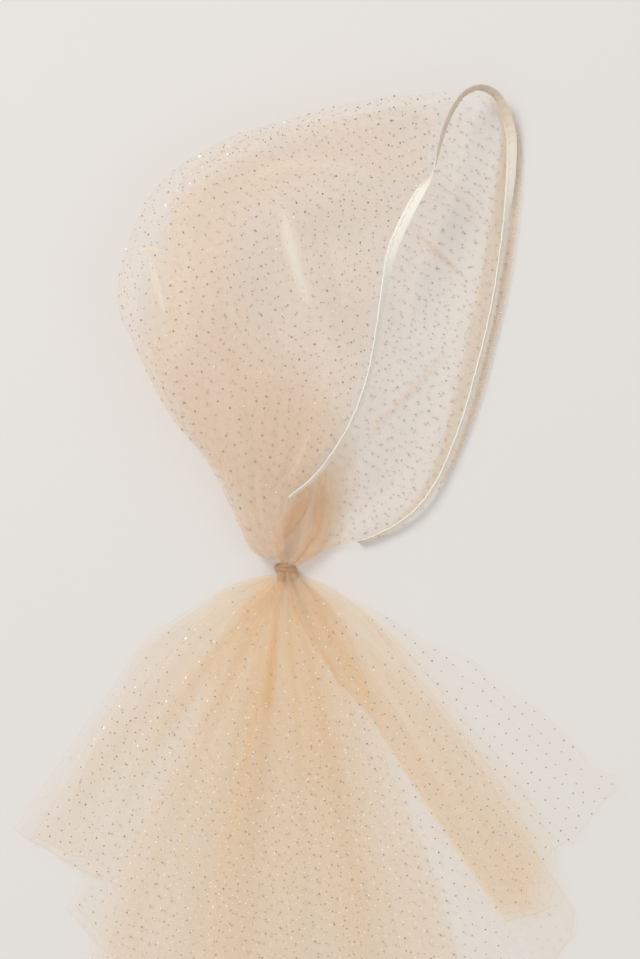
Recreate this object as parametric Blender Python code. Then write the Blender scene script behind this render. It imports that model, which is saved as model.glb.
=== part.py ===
"""A sheer dotted tulle hair scarf that lies on its side: a puffed hood, a knot at the nape and a layered tail.

Tables and named sizes are in millimetres from the middle of the knot, with +X towards the hood's open side,
+Y towards the top of the head and +Z up from the surface. Meshes are in metres, and an empty carries them so
that the origin is at the middle of the whole scarf's footprint.
"""
import math
from collections import namedtuple

import bmesh
import bpy
from mathutils import Vector

MM = 0.001
SEAM_GAP = 0.3

# Hood
HOOD_WALL = 1.2
HOOD_ROWS = 27
HOOD_ACROSS = 12
FOLD_ROUND = 0.36
FOLD_ROUND_REACH = 0.22
HoodRow = namedtuple(
    "HoodRow",
    "near_x near_y near_z fold_x fold_y fold_z far_x far_y base puff",
)
HOOD_SECTIONS = [
    HoodRow(110.5, 286.0, 17, 98.0, 287.0, 12, 120.0, 286.5, 6.5, 18.5),
    HoodRow(96.5, 277.5, 24, 81.0, 283.5, 13, 127.5, 281.0, 2.0, 26),
    HoodRow(85.5, 257.5, 28, 49.5, 280.5, 14, 135.5, 264.5, 0.0, 34),
    HoodRow(81.5, 234.0, 31, 2.0, 269.0, 15, 137.5, 244.0, 0.0, 41),
    HoodRow(68.3, 212.0, 34, -42.5, 253.5, 17, 136.0, 214.0, 0.0, 47),
    HoodRow(54.4, 178.0, 37, -81.0, 222.5, 19, 130.5, 175.0, 0.0, 51),
    HoodRow(48.8, 142.5, 38, -100.0, 167.5, 20, 123.5, 142.0, 0.0, 52),
    HoodRow(42.3, 113.0, 36, -89.5, 134.0, 19, 114.5, 106.0, 0.0, 49),
    HoodRow(33.0, 89.5, 32, -69.0, 93.5, 17, 102.5, 73.0, 0.0, 43),
    HoodRow(15.5, 62.5, 26, -48.5, 68.5, 14, 85.5, 41.5, 0.0, 34),
    HoodRow(-2.0, 47.5, 20, -32.5, 37.5, 11, 58.5, 21.0, 0.0, 25),
    HoodRow(-2.0, 26.0, 17, -22.0, 15.0, 9, 29.0, 16.5, 0.0, 19),
    HoodRow(-1.5, 11.0, 15.5, -12.0, 7.5, 8, 12.0, 8.2, 0.0, 16.5),
]
# Soft gathers of the hood's upper side, fanning up from the knot: place across, half width, depth
HoodCrease = namedtuple("HoodCrease", "across half_width depth")
HOOD_CREASES = [
    HoodCrease(0.42, 0.07, 1.5),
    HoodCrease(0.56, 0.08, 2.4),
    HoodCrease(0.71, 0.06, 1.4),
    HoodCrease(0.83, 0.07, 2.0),
]
CREASE_START_ROW = 4.0
CREASE_FULL_ROW = 9.0
CREASE_END_ROW = 11.6

# Inner hood layer
INNER_WALL = 1.0
INNER_ROWS = 22
INNER_ACROSS = 10
INNER_FIRST_ROW = 1.6
INNER_LAST_ROW = 9.0
INNER_FOLD_INSET = 14.0
INNER_EDGE_INSET = 5.0
INNER_TOP_DROP = 4.6

# Turned hem band on the far edge
BAND_WALL = 1.0
BAND_FIRST_ROW = 1.5
BAND_LAST_ROW = 9.6
BAND_WIDTHS = [(1.5, 8.0), (3.0, 13.0), (5.0, 16.0), (7.0, 15.0), (8.5, 10.0), (9.6, 7.0)]
BAND_EDGE_INSET = 1.0
# What lies on the hood's sloping end keeps this much more than the seam gap
SLOPE_ALLOWANCE = 0.15

# Elastic edging: its middle line, the height of its middle and the tilt of its width about that line
ELASTIC_WIDTH = 6.35
ELASTIC_THICKNESS = 0.9
ELASTIC_POINTS = 132
ElasticPoint = namedtuple("ElasticPoint", "x y z tilt_deg")
ELASTIC_LINE = [
    ElasticPoint(3.5, 46.5, 22, -62),
    ElasticPoint(19.5, 60.0, 28, -55),
    ElasticPoint(37.5, 87.0, 34, -48),
    ElasticPoint(48.5, 116.5, 38, -35),
    ElasticPoint(54.5, 149.0, 40, -12),
    ElasticPoint(62.0, 190.0, 39, 0),
    ElasticPoint(72.5, 213.0, 36, 14),
    ElasticPoint(86.0, 236.0, 33, 88),
    ElasticPoint(90.5, 257.0, 31, 158),
    ElasticPoint(100.5, 281.5, 27, 178),
    ElasticPoint(113.5, 290.5, 20, 205),
    ElasticPoint(126.0, 287.5, 13, 212),
    ElasticPoint(133.5, 271.0, 6.4, 205),
    ElasticPoint(135.5, 252.0, 5.2, 200),
    ElasticPoint(134.5, 228.5, 5.1, 200),
    ElasticPoint(131.0, 198.5, 5.4, 207),
    ElasticPoint(126.7, 169.0, 5.8, 215),
    ElasticPoint(121.8, 145.0, 6.1, 222),
    ElasticPoint(115.5, 121.0, 6.3, 230),
    ElasticPoint(108.5, 97.0, 6.4, 238),
    ElasticPoint(101.0, 76.0, 6.4, 240),
    ElasticPoint(92.0, 55.5, 6.4, 240),
    ElasticPoint(80.5, 39.0, 6.3, 240),
    ElasticPoint(66.0, 28.0, 6.2, 238),
    ElasticPoint(48.0, 21.5, 5.6, 235),
]

# Gathered bundle in the neck
GatherRow = namedtuple("GatherRow", "y middle_x half_width bottom top flute")
GATHER_SECTIONS = [
    GatherRow(5.8, 0.0, 7.0, 2.6, 12.0, 0.2),
    GatherRow(9.0, 0.0, 8.5, 1.7, 12.6, 0.5),
    GatherRow(17.0, 1.0, 11.0, 1.6, 13.2, 0.9),
    GatherRow(28.0, 4.0, 13.5, 1.6, 13.6, 1.1),
    GatherRow(38.0, 8.0, 14.5, 1.6, 13.0, 1.1),
    GatherRow(47.0, 13.0, 12.5, 1.7, 10.5, 0.9),
    GatherRow(53.0, 16.0, 7.0, 2.0, 6.5, 0.4),
]
GATHER_FLUTES = 9
GATHER_SIDES = 45
GATHER_ROWS = 9

# Knot
KNOT_HALF_WIDTH = 8.2
KNOT_HALF_LENGTH = 5.5
KNOT_HEIGHT = 15.4
KNOT_FLAT = 0.9
KNOT_SIDES = 32
KNOT_PROFILE = [(-1.0, 0.78), (-0.72, 0.92), (-0.3, 1.0), (0.3, 1.0), (0.72, 0.92), (1.0, 0.78)]

# Tail
TAIL_WALL = 1.0
TAIL_PITCH = 2.45
KNOT_PITCH = 2.75
PITCH_FADE = 28.0
KNOT_CLEAR_Y = KNOT_HALF_LENGTH + SEAM_GAP
KNOT_CLEAR_X = KNOT_HALF_WIDTH + SEAM_GAP
# Shared fan folds: direction at the hem in degrees from -Y towards +X, half width in degrees, height
TailFold = namedtuple("TailFold", "angle half_width height")
TAIL_FOLDS = [
    TailFold(-44.0, 4.5, 5.0),
    TailFold(-35.5, 4.0, 3.5),
    TailFold(-26.5, 5.0, 5.5),
    TailFold(-17.0, 4.0, 3.5),
    TailFold(-9.0, 4.5, 6.0),
    TailFold(1.0, 4.0, 4.0),
    TailFold(9.5, 4.5, 5.5),
    TailFold(18.5, 4.0, 3.5),
    TailFold(30.0, 5.0, 5.0),
    TailFold(40.0, 4.5, 4.5),
    TailFold(50.0, 5.0, 5.5),
]
FOLD_START_RADIUS = 14.0
FOLD_FULL_RADIUS = 105.0
FAN_SPREAD = 0.6
FAN_FADE = 70.0
WING_LIFT = 11.0
WING_LIFT_ANGLES = (44.0, 60.0)
WING_LIFT_RADII = (150.0, 240.0)
TAIL_ROWS = 11
# Each panel: its level in the stack, its columns, its side edges by radius, and its hem by share across
TailPanel = namedtuple("TailPanel", "name level columns edges hem colour")
PanelEdge = namedtuple("PanelEdge", "radius left right")
PanelHem = namedtuple("PanelHem", "share radius")
TAIL_PANELS = [
    TailPanel(
        "tail_under_layer", 0, 38,
        [PanelEdge(8, -60, 58), PanelEdge(60, -46, 50), PanelEdge(134, -39, 45),
         PanelEdge(214, -34, 42), PanelEdge(246, -33.2, 41.0), PanelEdge(285, -32, 39.5)],
        [PanelHem(0.0, 242), PanelHem(0.07, 248), PanelHem(0.2, 262), PanelHem(0.45, 273),
         PanelHem(0.8, 287), PanelHem(0.93, 284), PanelHem(0.98, 276), PanelHem(1.0, 266)],
        (0.90, 0.86, 0.80),
    ),
    TailPanel(
        "tail_right_wing", 1, 20,
        [PanelEdge(8, 38, 82), PanelEdge(16, 40, 76), PanelEdge(34, 41, 69), PanelEdge(92, 41, 64),
         PanelEdge(118, 40, 65), PanelEdge(155, 38, 62), PanelEdge(188, 36, 60.5),
         PanelEdge(215, 36, 57.4), PanelEdge(235, 36, 58.8)],
        [PanelHem(0.0, 236), PanelHem(0.33, 230), PanelHem(0.5, 234), PanelHem(0.77, 232),
         PanelHem(1.0, 235)],
        (0.89, 0.86, 0.81),
    ),
    TailPanel(
        "tail_right_band", 2, 18,
        [PanelEdge(8, 8, 78), PanelEdge(30, 15, 70), PanelEdge(60, 24, 62), PanelEdge(99, 30, 54.5),
         PanelEdge(134, 30.3, 51), PanelEdge(190, 31.2, 47.6), PanelEdge(246, 32.1, 42.6)],
        [PanelHem(0.0, 246), PanelHem(0.2, 250), PanelHem(0.55, 255), PanelHem(0.85, 244),
         PanelHem(1.0, 231)],
        (0.87, 0.78, 0.68),
    ),
    TailPanel(
        "tail_left_wing_outer", 1, 20,
        [PanelEdge(8, -82, -30), PanelEdge(29, -78, -33), PanelEdge(55, -70, -35),
         PanelEdge(90, -65, -36), PanelEdge(128, -56, -37), PanelEdge(177, -50, -37),
         PanelEdge(224, -46.7, -33.6)],
        [PanelHem(0.0, 224), PanelHem(0.4, 220), PanelHem(0.7, 218), PanelHem(1.0, 214)],
        (0.91, 0.84, 0.76),
    ),
    TailPanel(
        "tail_left_wing_inner", 2, 14,
        [PanelEdge(8, -74, -26), PanelEdge(60, -60, -27), PanelEdge(100, -53, -28),
         PanelEdge(155, -47.5, -28), PanelEdge(187, -42.9, -28), PanelEdge(216, -39.5, -28)],
        [PanelHem(0.0, 219), PanelHem(0.5, 216), PanelHem(1.0, 211)],
        (0.89, 0.80, 0.71),
    ),
    TailPanel(
        "tail_centre_lower", 3, 26,
        [PanelEdge(8, -66, 64), PanelEdge(45, -42, 46), PanelEdge(99, -32.2, 30),
         PanelEdge(141, -30.6, 27.4), PanelEdge(205, -29.2, 25.7), PanelEdge(254, -27.4, 23.8),
         PanelEdge(285, -25.8, 23.2)],
        [PanelHem(0.0, 284), PanelHem(0.25, 278), PanelHem(0.55, 275), PanelHem(0.8, 278),
         PanelHem(1.0, 280)],
        (0.86, 0.74, 0.62),
    ),
    TailPanel(
        "tail_centre_upper", 4, 24,
        [PanelEdge(8, -58, 56), PanelEdge(45, -37, 40), PanelEdge(99, -28, 26),
         PanelEdge(160, -24.5, 22), PanelEdge(270, -20.5, 18.5)],
        [PanelHem(0.0, 270), PanelHem(0.4, 266), PanelHem(0.7, 268), PanelHem(1.0, 272)],
        (0.85, 0.73, 0.60),
    ),
]


def smooth_rise(start, end, value):
    """0 before start, 1 after end and a smooth rise between them."""
    share = min(1.0, max(0.0, (value - start) / (end - start)))
    return share * share * (3.0 - 2.0 * share)


def mix(a, b, share):
    return a + (b - a) * share


def bump(distance, half_width):
    """A round ridge of height 1 that is exactly 0 outside its half width."""
    if abs(distance) >= half_width:
        return 0.0
    return 0.5 + 0.5 * math.cos(math.pi * distance / half_width)


def between_rows(rows, place):
    """A row worked out between a table's rows by a smooth curve through all of them."""
    place = min(max(place, 0.0), len(rows) - 1.0)
    index = min(int(place), len(rows) - 2)
    t = place - index
    before = rows[max(index - 1, 0)]
    start = rows[index]
    end = rows[index + 1]
    after = rows[min(index + 2, len(rows) - 1)]
    values = []
    for a, b, c, d in zip(before, start, end, after):
        slope_b = 0.5 * (c - a)
        slope_c = 0.5 * (d - b)
        t2 = t * t
        t3 = t2 * t
        values.append(
            (2 * t3 - 3 * t2 + 1) * b + (t3 - 2 * t2 + t) * slope_b
            + (3 * t2 - 2 * t3) * c + (t3 - t2) * slope_c
        )
    return type(start)(*values) if hasattr(start, "_fields") else tuple(values)


def from_table(table, key):
    """The values of a table whose first column is the key, eased from row to row."""
    if key <= table[0][0]:
        return table[0][1:]
    for low, high in zip(table, table[1:]):
        if key <= high[0]:
            share = (key - low[0]) / (high[0] - low[0])
            return tuple(mix(a, b, share) for a, b in zip(low[1:], high[1:]))
    return table[-1][1:]


def fabric(name, colour, roughness=0.75):
    """A plain woven or net finish in the cloth's own colour."""
    material = bpy.data.materials.new(name)
    material.use_nodes = True
    shader = material.node_tree.nodes["Principled BSDF"]
    shader.inputs["Base Color"].default_value = (*colour, 1.0)
    shader.inputs["Roughness"].default_value = roughness
    shader.inputs["Metallic"].default_value = 0.0
    return material


def add_object(name, bm, colour, roughness=0.75):
    """Turns a finished mesh into a named object of the scarf."""
    bmesh.ops.recalc_face_normals(bm, faces=bm.faces)
    mesh = bpy.data.meshes.new(name)
    bm.to_mesh(mesh)
    bm.free()
    mesh.materials.append(fabric(name + "_cloth", colour, roughness))
    mesh.shade_smooth()
    obj = bpy.data.objects.new(name, mesh)
    bpy.data.collections["hair_scarf"].objects.link(obj)
    return obj


def wall_between(outer, inner):
    """A closed wall between two grids of points in millimetres that have the same rows and columns."""
    rows = len(outer)
    columns = len(outer[0])
    bm = bmesh.new()
    skin = [[bm.verts.new(Vector(p) * MM) for p in row] for row in outer]
    lining = [[bm.verts.new(Vector(p) * MM) for p in row] for row in inner]
    for i in range(rows - 1):
        for j in range(columns - 1):
            bm.faces.new((skin[i][j], skin[i][j + 1], skin[i + 1][j + 1], skin[i + 1][j]))
            bm.faces.new((lining[i][j], lining[i + 1][j], lining[i + 1][j + 1], lining[i][j + 1]))
    for j in range(columns - 1):
        bm.faces.new((skin[0][j], lining[0][j], lining[0][j + 1], skin[0][j + 1]))
        bm.faces.new((skin[-1][j], skin[-1][j + 1], lining[-1][j + 1], lining[-1][j]))
    for i in range(rows - 1):
        bm.faces.new((skin[i][0], skin[i + 1][0], lining[i + 1][0], lining[i][0]))
        bm.faces.new((skin[i][-1], lining[i][-1], lining[i + 1][-1], skin[i + 1][-1]))
    return bm


def loft_rings(rings):
    """A closed body through rings of points in millimetres, with flat ends."""
    bm = bmesh.new()
    loops = [[bm.verts.new(Vector(p) * MM) for p in ring] for ring in rings]
    sides = len(loops[0])
    for low, high in zip(loops, loops[1:]):
        for j in range(sides):
            k = (j + 1) % sides
            bm.faces.new((low[j], low[k], high[k], high[j]))
    bm.faces.new(loops[0][::-1])
    bm.faces.new(loops[-1])
    return bm


def grid_normals(grid):
    """The unit normal at each point of a grid, from its neighbours."""
    rows = len(grid)
    columns = len(grid[0])
    normals = []
    for i in range(rows):
        line = []
        for j in range(columns):
            along = Vector(grid[min(i + 1, rows - 1)][j]) - Vector(grid[max(i - 1, 0)][j])
            across = Vector(grid[i][min(j + 1, columns - 1)]) - Vector(grid[i][max(j - 1, 0)])
            line.append(across.cross(along).normalized())
        normals.append(line)
    return normals


def moved_in(grid, distance, floor=0.0):
    """The grid moved along its normals by a distance, kept above a floor height."""
    normals = grid_normals(grid)
    moved = []
    for row, normal_row in zip(grid, normals):
        line = []
        for point, normal in zip(row, normal_row):
            place = Vector(point) + normal * distance
            place.z = max(place.z, floor)
            line.append(place)
        moved.append(line)
    return moved


def crease_depth(row_place, across):
    """How far the hood's upper side sinks into its gathers."""
    share = smooth_rise(CREASE_START_ROW, CREASE_FULL_ROW, row_place)
    share *= 1.0 - smooth_rise(CREASE_FULL_ROW, CREASE_END_ROW, row_place)
    return share * sum(c.depth * bump(across - c.across, c.half_width) for c in HOOD_CREASES)


def hood_point(row, row_place, across):
    """A point of the hood's outer face: across is -1 at the near edge, 0 at the fold and 1 at the far edge."""
    side = abs(across)
    if side < FOLD_ROUND:
        angle = 0.5 * math.pi * side / FOLD_ROUND
        reach = FOLD_ROUND_REACH * (1.0 - math.cos(angle))
        climb = math.sin(angle)
        run = 0.0
    else:
        run = (side - FOLD_ROUND) / (1.0 - FOLD_ROUND)
        reach = mix(FOLD_ROUND_REACH, 1.0, run)
        climb = 1.0
    if across < 0.0:
        x = mix(row.fold_x, row.near_x, reach)
        y = mix(row.fold_y, row.near_y, reach)
        z = mix(row.fold_z, row.puff, climb) - (row.puff - row.near_z) * run * run
        z -= crease_depth(row_place, side)
    else:
        x = mix(row.fold_x, row.far_x, reach)
        y = mix(row.fold_y, row.far_y, reach)
        z = mix(row.fold_z, max(row.base, 0.0), climb)
    return x, y, z


def hood_grid(rows, half_columns, first, last):
    """The hood's outer face as a grid from the near edge, over the fold, to the far edge."""
    grid = []
    for i in range(rows + 1):
        row_place = mix(first, last, i / rows)
        row = between_rows(HOOD_SECTIONS, row_place)
        line = []
        for j in range(-half_columns, half_columns + 1):
            line.append(hood_point(row, row_place, j / half_columns))
        grid.append(line)
    return grid


def make_hood_shell():
    outer = hood_grid(HOOD_ROWS, HOOD_ACROSS, 0.0, len(HOOD_SECTIONS) - 1.0)
    return add_object("hood_shell", wall_between(outer, moved_in(outer, -HOOD_WALL)), (0.88, 0.80, 0.70))


def inner_row(row, row_place):
    """The inner layer's own section: pulled in at its fold and its edges, and lower on its upper side."""
    fold = Vector((row.fold_x, row.fold_y))
    near = Vector((row.near_x, row.near_y))
    far = Vector((row.far_x, row.far_y))
    to_near = (near - fold).normalized()
    to_far = (far - fold).normalized()
    (band_width,) = from_table(BAND_WIDTHS, row_place)
    fold = fold + (to_near + to_far).normalized() * INNER_FOLD_INSET
    near = near - to_near * INNER_EDGE_INSET
    far = far - to_far * (BAND_EDGE_INSET + band_width + SEAM_GAP)
    floor = HOOD_WALL + SEAM_GAP + SLOPE_ALLOWANCE
    return row._replace(
        near_x=near.x, near_y=near.y, near_z=row.near_z - INNER_TOP_DROP,
        fold_x=fold.x, fold_y=fold.y, fold_z=row.fold_z + 0.5 * floor,
        far_x=far.x, far_y=far.y,
        base=max(row.base, 0.0) + floor, puff=row.puff - INNER_TOP_DROP,
    )


def make_hood_inner_layer():
    outer = []
    for i in range(INNER_ROWS + 1):
        row_place = mix(INNER_FIRST_ROW, INNER_LAST_ROW, i / INNER_ROWS)
        row = inner_row(between_rows(HOOD_SECTIONS, row_place), row_place)
        outer.append([hood_point(row, row_place, j / INNER_ACROSS) for j in range(-INNER_ACROSS, INNER_ACROSS + 1)])
    inner = moved_in(outer, -INNER_WALL)
    return add_object("hood_inner_layer", wall_between(outer, inner), (0.87, 0.78, 0.67))


def far_edge_frame(row_place):
    """The far edge's point on the under side and the direction back into the hood."""
    row = between_rows(HOOD_SECTIONS, row_place)
    far = Vector((row.far_x, row.far_y))
    fold = Vector((row.fold_x, row.fold_y))
    return row, far, (fold - far).normalized(), (fold - far).length


def make_hood_hem_band():
    rows = 26
    columns = 4
    lower = []
    upper = []
    for i in range(rows + 1):
        row_place = mix(BAND_FIRST_ROW, BAND_LAST_ROW, i / rows)
        row, far, inward, length = far_edge_frame(row_place)
        (width,) = from_table(BAND_WIDTHS, row_place)
        low_line = []
        high_line = []
        for j in range(columns + 1):
            inset = BAND_EDGE_INSET + width * j / columns
            reach = 1.0 - inset / length
            side = FOLD_ROUND + (1.0 - FOLD_ROUND) * (reach - FOLD_ROUND_REACH) / (1.0 - FOLD_ROUND_REACH)
            x, y, z = hood_point(row, row_place, side)
            height = z + HOOD_WALL + SEAM_GAP + SLOPE_ALLOWANCE
            low_line.append((x, y, height))
            high_line.append((x, y, height + BAND_WALL))
        lower.append(low_line)
        upper.append(high_line)
    return add_object("hood_hem_band", wall_between(lower, upper), (0.85, 0.76, 0.66))


def make_elastic_edging():
    """A flat ribbon swept along the face opening, with a half twist near the top."""
    count = ELASTIC_POINTS
    places = [between_rows(ELASTIC_LINE, (len(ELASTIC_LINE) - 1) * i / count) for i in range(count + 1)]
    rings = []
    for i, place in enumerate(places):
        before = places[max(i - 1, 0)]
        after = places[min(i + 1, count)]
        run = Vector((after.x - before.x, after.y - before.y, after.z - before.z)).normalized()
        level = Vector((run.y, -run.x, 0.0)).normalized()
        rise = level.cross(run).normalized()
        tilt = math.radians(place.tilt_deg)
        wide = (level * math.cos(tilt) + rise * math.sin(tilt)) * ELASTIC_WIDTH * 0.5
        thick = wide.cross(run).normalized() * ELASTIC_THICKNESS * 0.5
        middle = Vector((place.x, place.y, place.z))
        rings.append([middle - wide - thick, middle + wide - thick, middle + wide + thick, middle - wide + thick])
    return add_object("elastic_edging", loft_rings(rings), (0.90, 0.87, 0.80), 0.4)


def make_nape_gather():
    """The rounded heap of folds that runs into the knot, fluted by its gathers."""
    rings = []
    for i in range(GATHER_ROWS + 1):
        row = between_rows(GATHER_SECTIONS, (len(GATHER_SECTIONS) - 1) * i / GATHER_ROWS)
        half_height = 0.5 * (row.top - row.bottom)
        ring = []
        for j in range(GATHER_SIDES):
            angle = 2.0 * math.pi * j / GATHER_SIDES
            flute = row.flute * (math.cos(GATHER_FLUTES * angle) - 1.0)
            x = row.middle_x + (row.half_width + flute) * math.cos(angle)
            z = row.bottom + half_height + (half_height + 0.5 * flute) * math.sin(angle)
            ring.append((x, row.y, z))
        rings.append(ring)
    return add_object("nape_gather", loft_rings(rings), (0.80, 0.67, 0.53))


def make_nape_knot():
    """The wound strip as one rounded lump with a flat underside."""
    rings = []
    middle = 0.5 * KNOT_HEIGHT - KNOT_FLAT
    for along, size in KNOT_PROFILE:
        ring = []
        for j in range(KNOT_SIDES):
            angle = 2.0 * math.pi * (j + 0.5) / KNOT_SIDES
            x = KNOT_HALF_WIDTH * size * math.cos(angle)
            z = middle + (0.5 * KNOT_HEIGHT + KNOT_FLAT * 0.5) * size * math.sin(angle)
            ring.append((x, KNOT_HALF_LENGTH * along, max(z, 0.0)))
        rings.append(ring)
    return add_object("nape_knot", loft_rings(rings), (0.62, 0.47, 0.32))


def fold_height(angle, radius):
    """The shared fan folds of the tail, which all its layers follow."""
    hem_angle = angle / (1.0 + FAN_SPREAD * math.exp(-radius / FAN_FADE))
    height = sum(f.height * bump(hem_angle - f.angle, f.half_width) for f in TAIL_FOLDS)
    height *= smooth_rise(FOLD_START_RADIUS, FOLD_FULL_RADIUS, radius)
    lift = WING_LIFT * smooth_rise(*WING_LIFT_ANGLES, angle) * smooth_rise(*WING_LIFT_RADII, radius)
    return height + lift


def tail_point(panel, across, along):
    """A point of a tail panel's under face: across is 0 at its left edge, along is 0 at the knot."""
    left, right = from_table(panel.edges, panel.edges[0].radius)
    angle = math.radians(mix(left, right, across))
    limits = [KNOT_CLEAR_X / max(abs(math.sin(angle)), 0.01), KNOT_CLEAR_Y / max(math.cos(angle), 0.01)]
    start = min(limits)
    (hem,) = from_table(panel.hem, across)
    radius = mix(start, hem, along ** 1.25)
    left, right = from_table(panel.edges, radius)
    degrees = mix(left, right, across)
    angle = math.radians(degrees)
    level_step = mix(TAIL_PITCH, KNOT_PITCH, math.exp(-max(radius - start, 0.0) / PITCH_FADE))
    height = panel.level * level_step + fold_height(degrees, radius)
    return radius * math.sin(angle), -radius * math.cos(angle), height


def make_tail_panel(panel):
    lower = []
    upper = []
    for i in range(TAIL_ROWS + 1):
        line = [tail_point(panel, j / panel.columns, i / TAIL_ROWS) for j in range(panel.columns + 1)]
        lower.append(line)
        upper.append([(x, y, z + TAIL_WALL) for x, y, z in line])
    return add_object(panel.name, wall_between(lower, upper), panel.colour)


def place_on_origin(objects):
    """Carries all pieces on an empty, so that the footprint's middle is at the origin."""
    points = [vertex.co for obj in objects for vertex in obj.data.vertices]
    low = Vector((min(p.x for p in points), min(p.y for p in points), min(p.z for p in points)))
    high = Vector((max(p.x for p in points), max(p.y for p in points), 0.0))
    carrier = bpy.data.objects.new("hair_scarf_origin", None)
    carrier.empty_display_size = 0.02
    carrier.location = (-0.5 * (low.x + high.x), -0.5 * (low.y + high.y), -low.z)
    bpy.data.collections["hair_scarf"].objects.link(carrier)
    for obj in objects:
        obj.parent = carrier


def main():
    for obj in list(bpy.data.objects):
        bpy.data.objects.remove(obj, do_unlink=True)
    collection = bpy.data.collections.new("hair_scarf")
    bpy.context.scene.collection.children.link(collection)
    pieces = [
        make_hood_shell(),
        make_hood_inner_layer(),
        make_hood_hem_band(),
        make_elastic_edging(),
        make_nape_gather(),
        make_nape_knot(),
    ]
    pieces += [make_tail_panel(panel) for panel in TAIL_PANELS]
    place_on_origin(pieces)
    bpy.context.view_layer.update()


main()
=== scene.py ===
import math
import random
from collections import namedtuple

import bpy
from mathutils import Matrix, Vector, noise
from mathutils.bvhtree import BVHTree

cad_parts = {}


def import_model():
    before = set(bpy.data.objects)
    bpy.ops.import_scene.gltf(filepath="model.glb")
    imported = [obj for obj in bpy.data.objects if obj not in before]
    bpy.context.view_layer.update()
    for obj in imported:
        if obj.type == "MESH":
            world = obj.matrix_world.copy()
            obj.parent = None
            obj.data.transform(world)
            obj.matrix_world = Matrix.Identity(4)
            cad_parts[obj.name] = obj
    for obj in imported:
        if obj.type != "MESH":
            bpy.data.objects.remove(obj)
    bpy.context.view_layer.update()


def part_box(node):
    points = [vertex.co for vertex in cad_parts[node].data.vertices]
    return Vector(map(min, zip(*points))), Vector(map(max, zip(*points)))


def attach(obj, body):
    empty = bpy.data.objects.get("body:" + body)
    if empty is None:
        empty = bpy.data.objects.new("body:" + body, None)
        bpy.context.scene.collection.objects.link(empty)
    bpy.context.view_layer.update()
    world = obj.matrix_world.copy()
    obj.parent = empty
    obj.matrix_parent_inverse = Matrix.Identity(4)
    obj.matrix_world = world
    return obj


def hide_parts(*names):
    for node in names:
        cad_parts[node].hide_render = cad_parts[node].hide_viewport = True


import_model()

# The looks of a sheer dotted tulle hair scarf that lies on its side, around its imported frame. Tables are in
# millimetres from the middle of the knot, with +X towards the face opening, +Y towards the top of the hood and
# +Z up. Every ply of net is an open thin sheet that follows the same sections as its solid.

MM = 0.001
BODY = "root"
RANDOM_SEED = 7
KNOT_LOW, KNOT_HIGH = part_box("nape_knot")
DATUM = Vector((0.5 * (KNOT_LOW[0] + KNOT_HIGH[0]), 0.5 * (KNOT_LOW[1] + KNOT_HIGH[1]), 0.0))
PLY_LIFT = 0.35

# The photograph: its frame in pixels, its scale on the surface and the camera over its middle
PHOTO_WIDTH_PX = 640
PHOTO_HEIGHT_PX = 959
MM_PER_PX = 0.6
KNOT_PX = (287.0, 572.0)
LENS_MM = 85.0
SENSOR_MM = 36.0


def named(kind, values, inner=None):
    """Named rows from plain ones, with the kinds of the tables inside a row by their column."""
    inner = inner or {}
    return [
        kind(*(named(inner[k], part) if k in inner else part for k, part in enumerate(value)))
        for value in values
    ]


# Hood sections
HoodRow = namedtuple("HoodRow", "near_x near_y near_z fold_x fold_y fold_z far_x far_y base puff")
HOOD_SECTIONS = named(HoodRow, [
    (110.5, 286.0, 17, 98.0, 287.0, 12, 120.0, 286.5, 6.5, 18.5),
    (96.5, 277.5, 24, 81.0, 283.5, 13, 128.0, 281.0, 2.0, 26),
    (85.5, 257.5, 28, 49.5, 280.5, 14, 137.5, 264.5, 0.0, 34),
    (81.5, 234.0, 31, 2.0, 269.0, 15, 139.5, 244.0, 0.0, 41),
    (68.3, 212.0, 34, -42.5, 253.5, 17, 137.5, 214.0, 0.0, 47),
    (54.4, 178.0, 37, -81.0, 222.5, 19, 132.0, 175.0, 0.0, 51),
    (48.8, 142.5, 38, -100.0, 167.5, 20, 124.5, 142.0, 0.0, 52),
    (42.3, 113.0, 36, -89.5, 134.0, 19, 115.5, 106.0, 0.0, 49),
    (33.0, 89.5, 32, -69.0, 93.5, 17, 103.0, 73.0, 0.0, 43),
    (15.5, 62.5, 26, -48.5, 68.5, 14, 85.5, 41.5, 0.0, 34),
    (-2.0, 47.5, 20, -32.5, 37.5, 11, 58.5, 21.0, 0.0, 25),
    (-2.0, 26.0, 17, -22.0, 15.0, 9, 29.0, 16.5, 0.0, 19),
    (-1.5, 11.0, 15.5, -12.0, 7.5, 8, 12.0, 8.2, 0.0, 16.5),
])
LAST_HOOD_ROW = len(HOOD_SECTIONS) - 1.0
FOLD_ROUND = 0.36
FOLD_ROUND_REACH = 0.22
HoodCrease = namedtuple("HoodCrease", "across half_width depth")
HOOD_CREASES = named(HoodCrease, [
    (0.42, 0.07, 1.5),
    (0.56, 0.08, 2.4),
    (0.71, 0.06, 1.4),
    (0.83, 0.07, 2.0),
])
CREASE_START_ROW = 4.0
CREASE_FULL_ROW = 9.0
CREASE_END_ROW = 11.6
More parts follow.
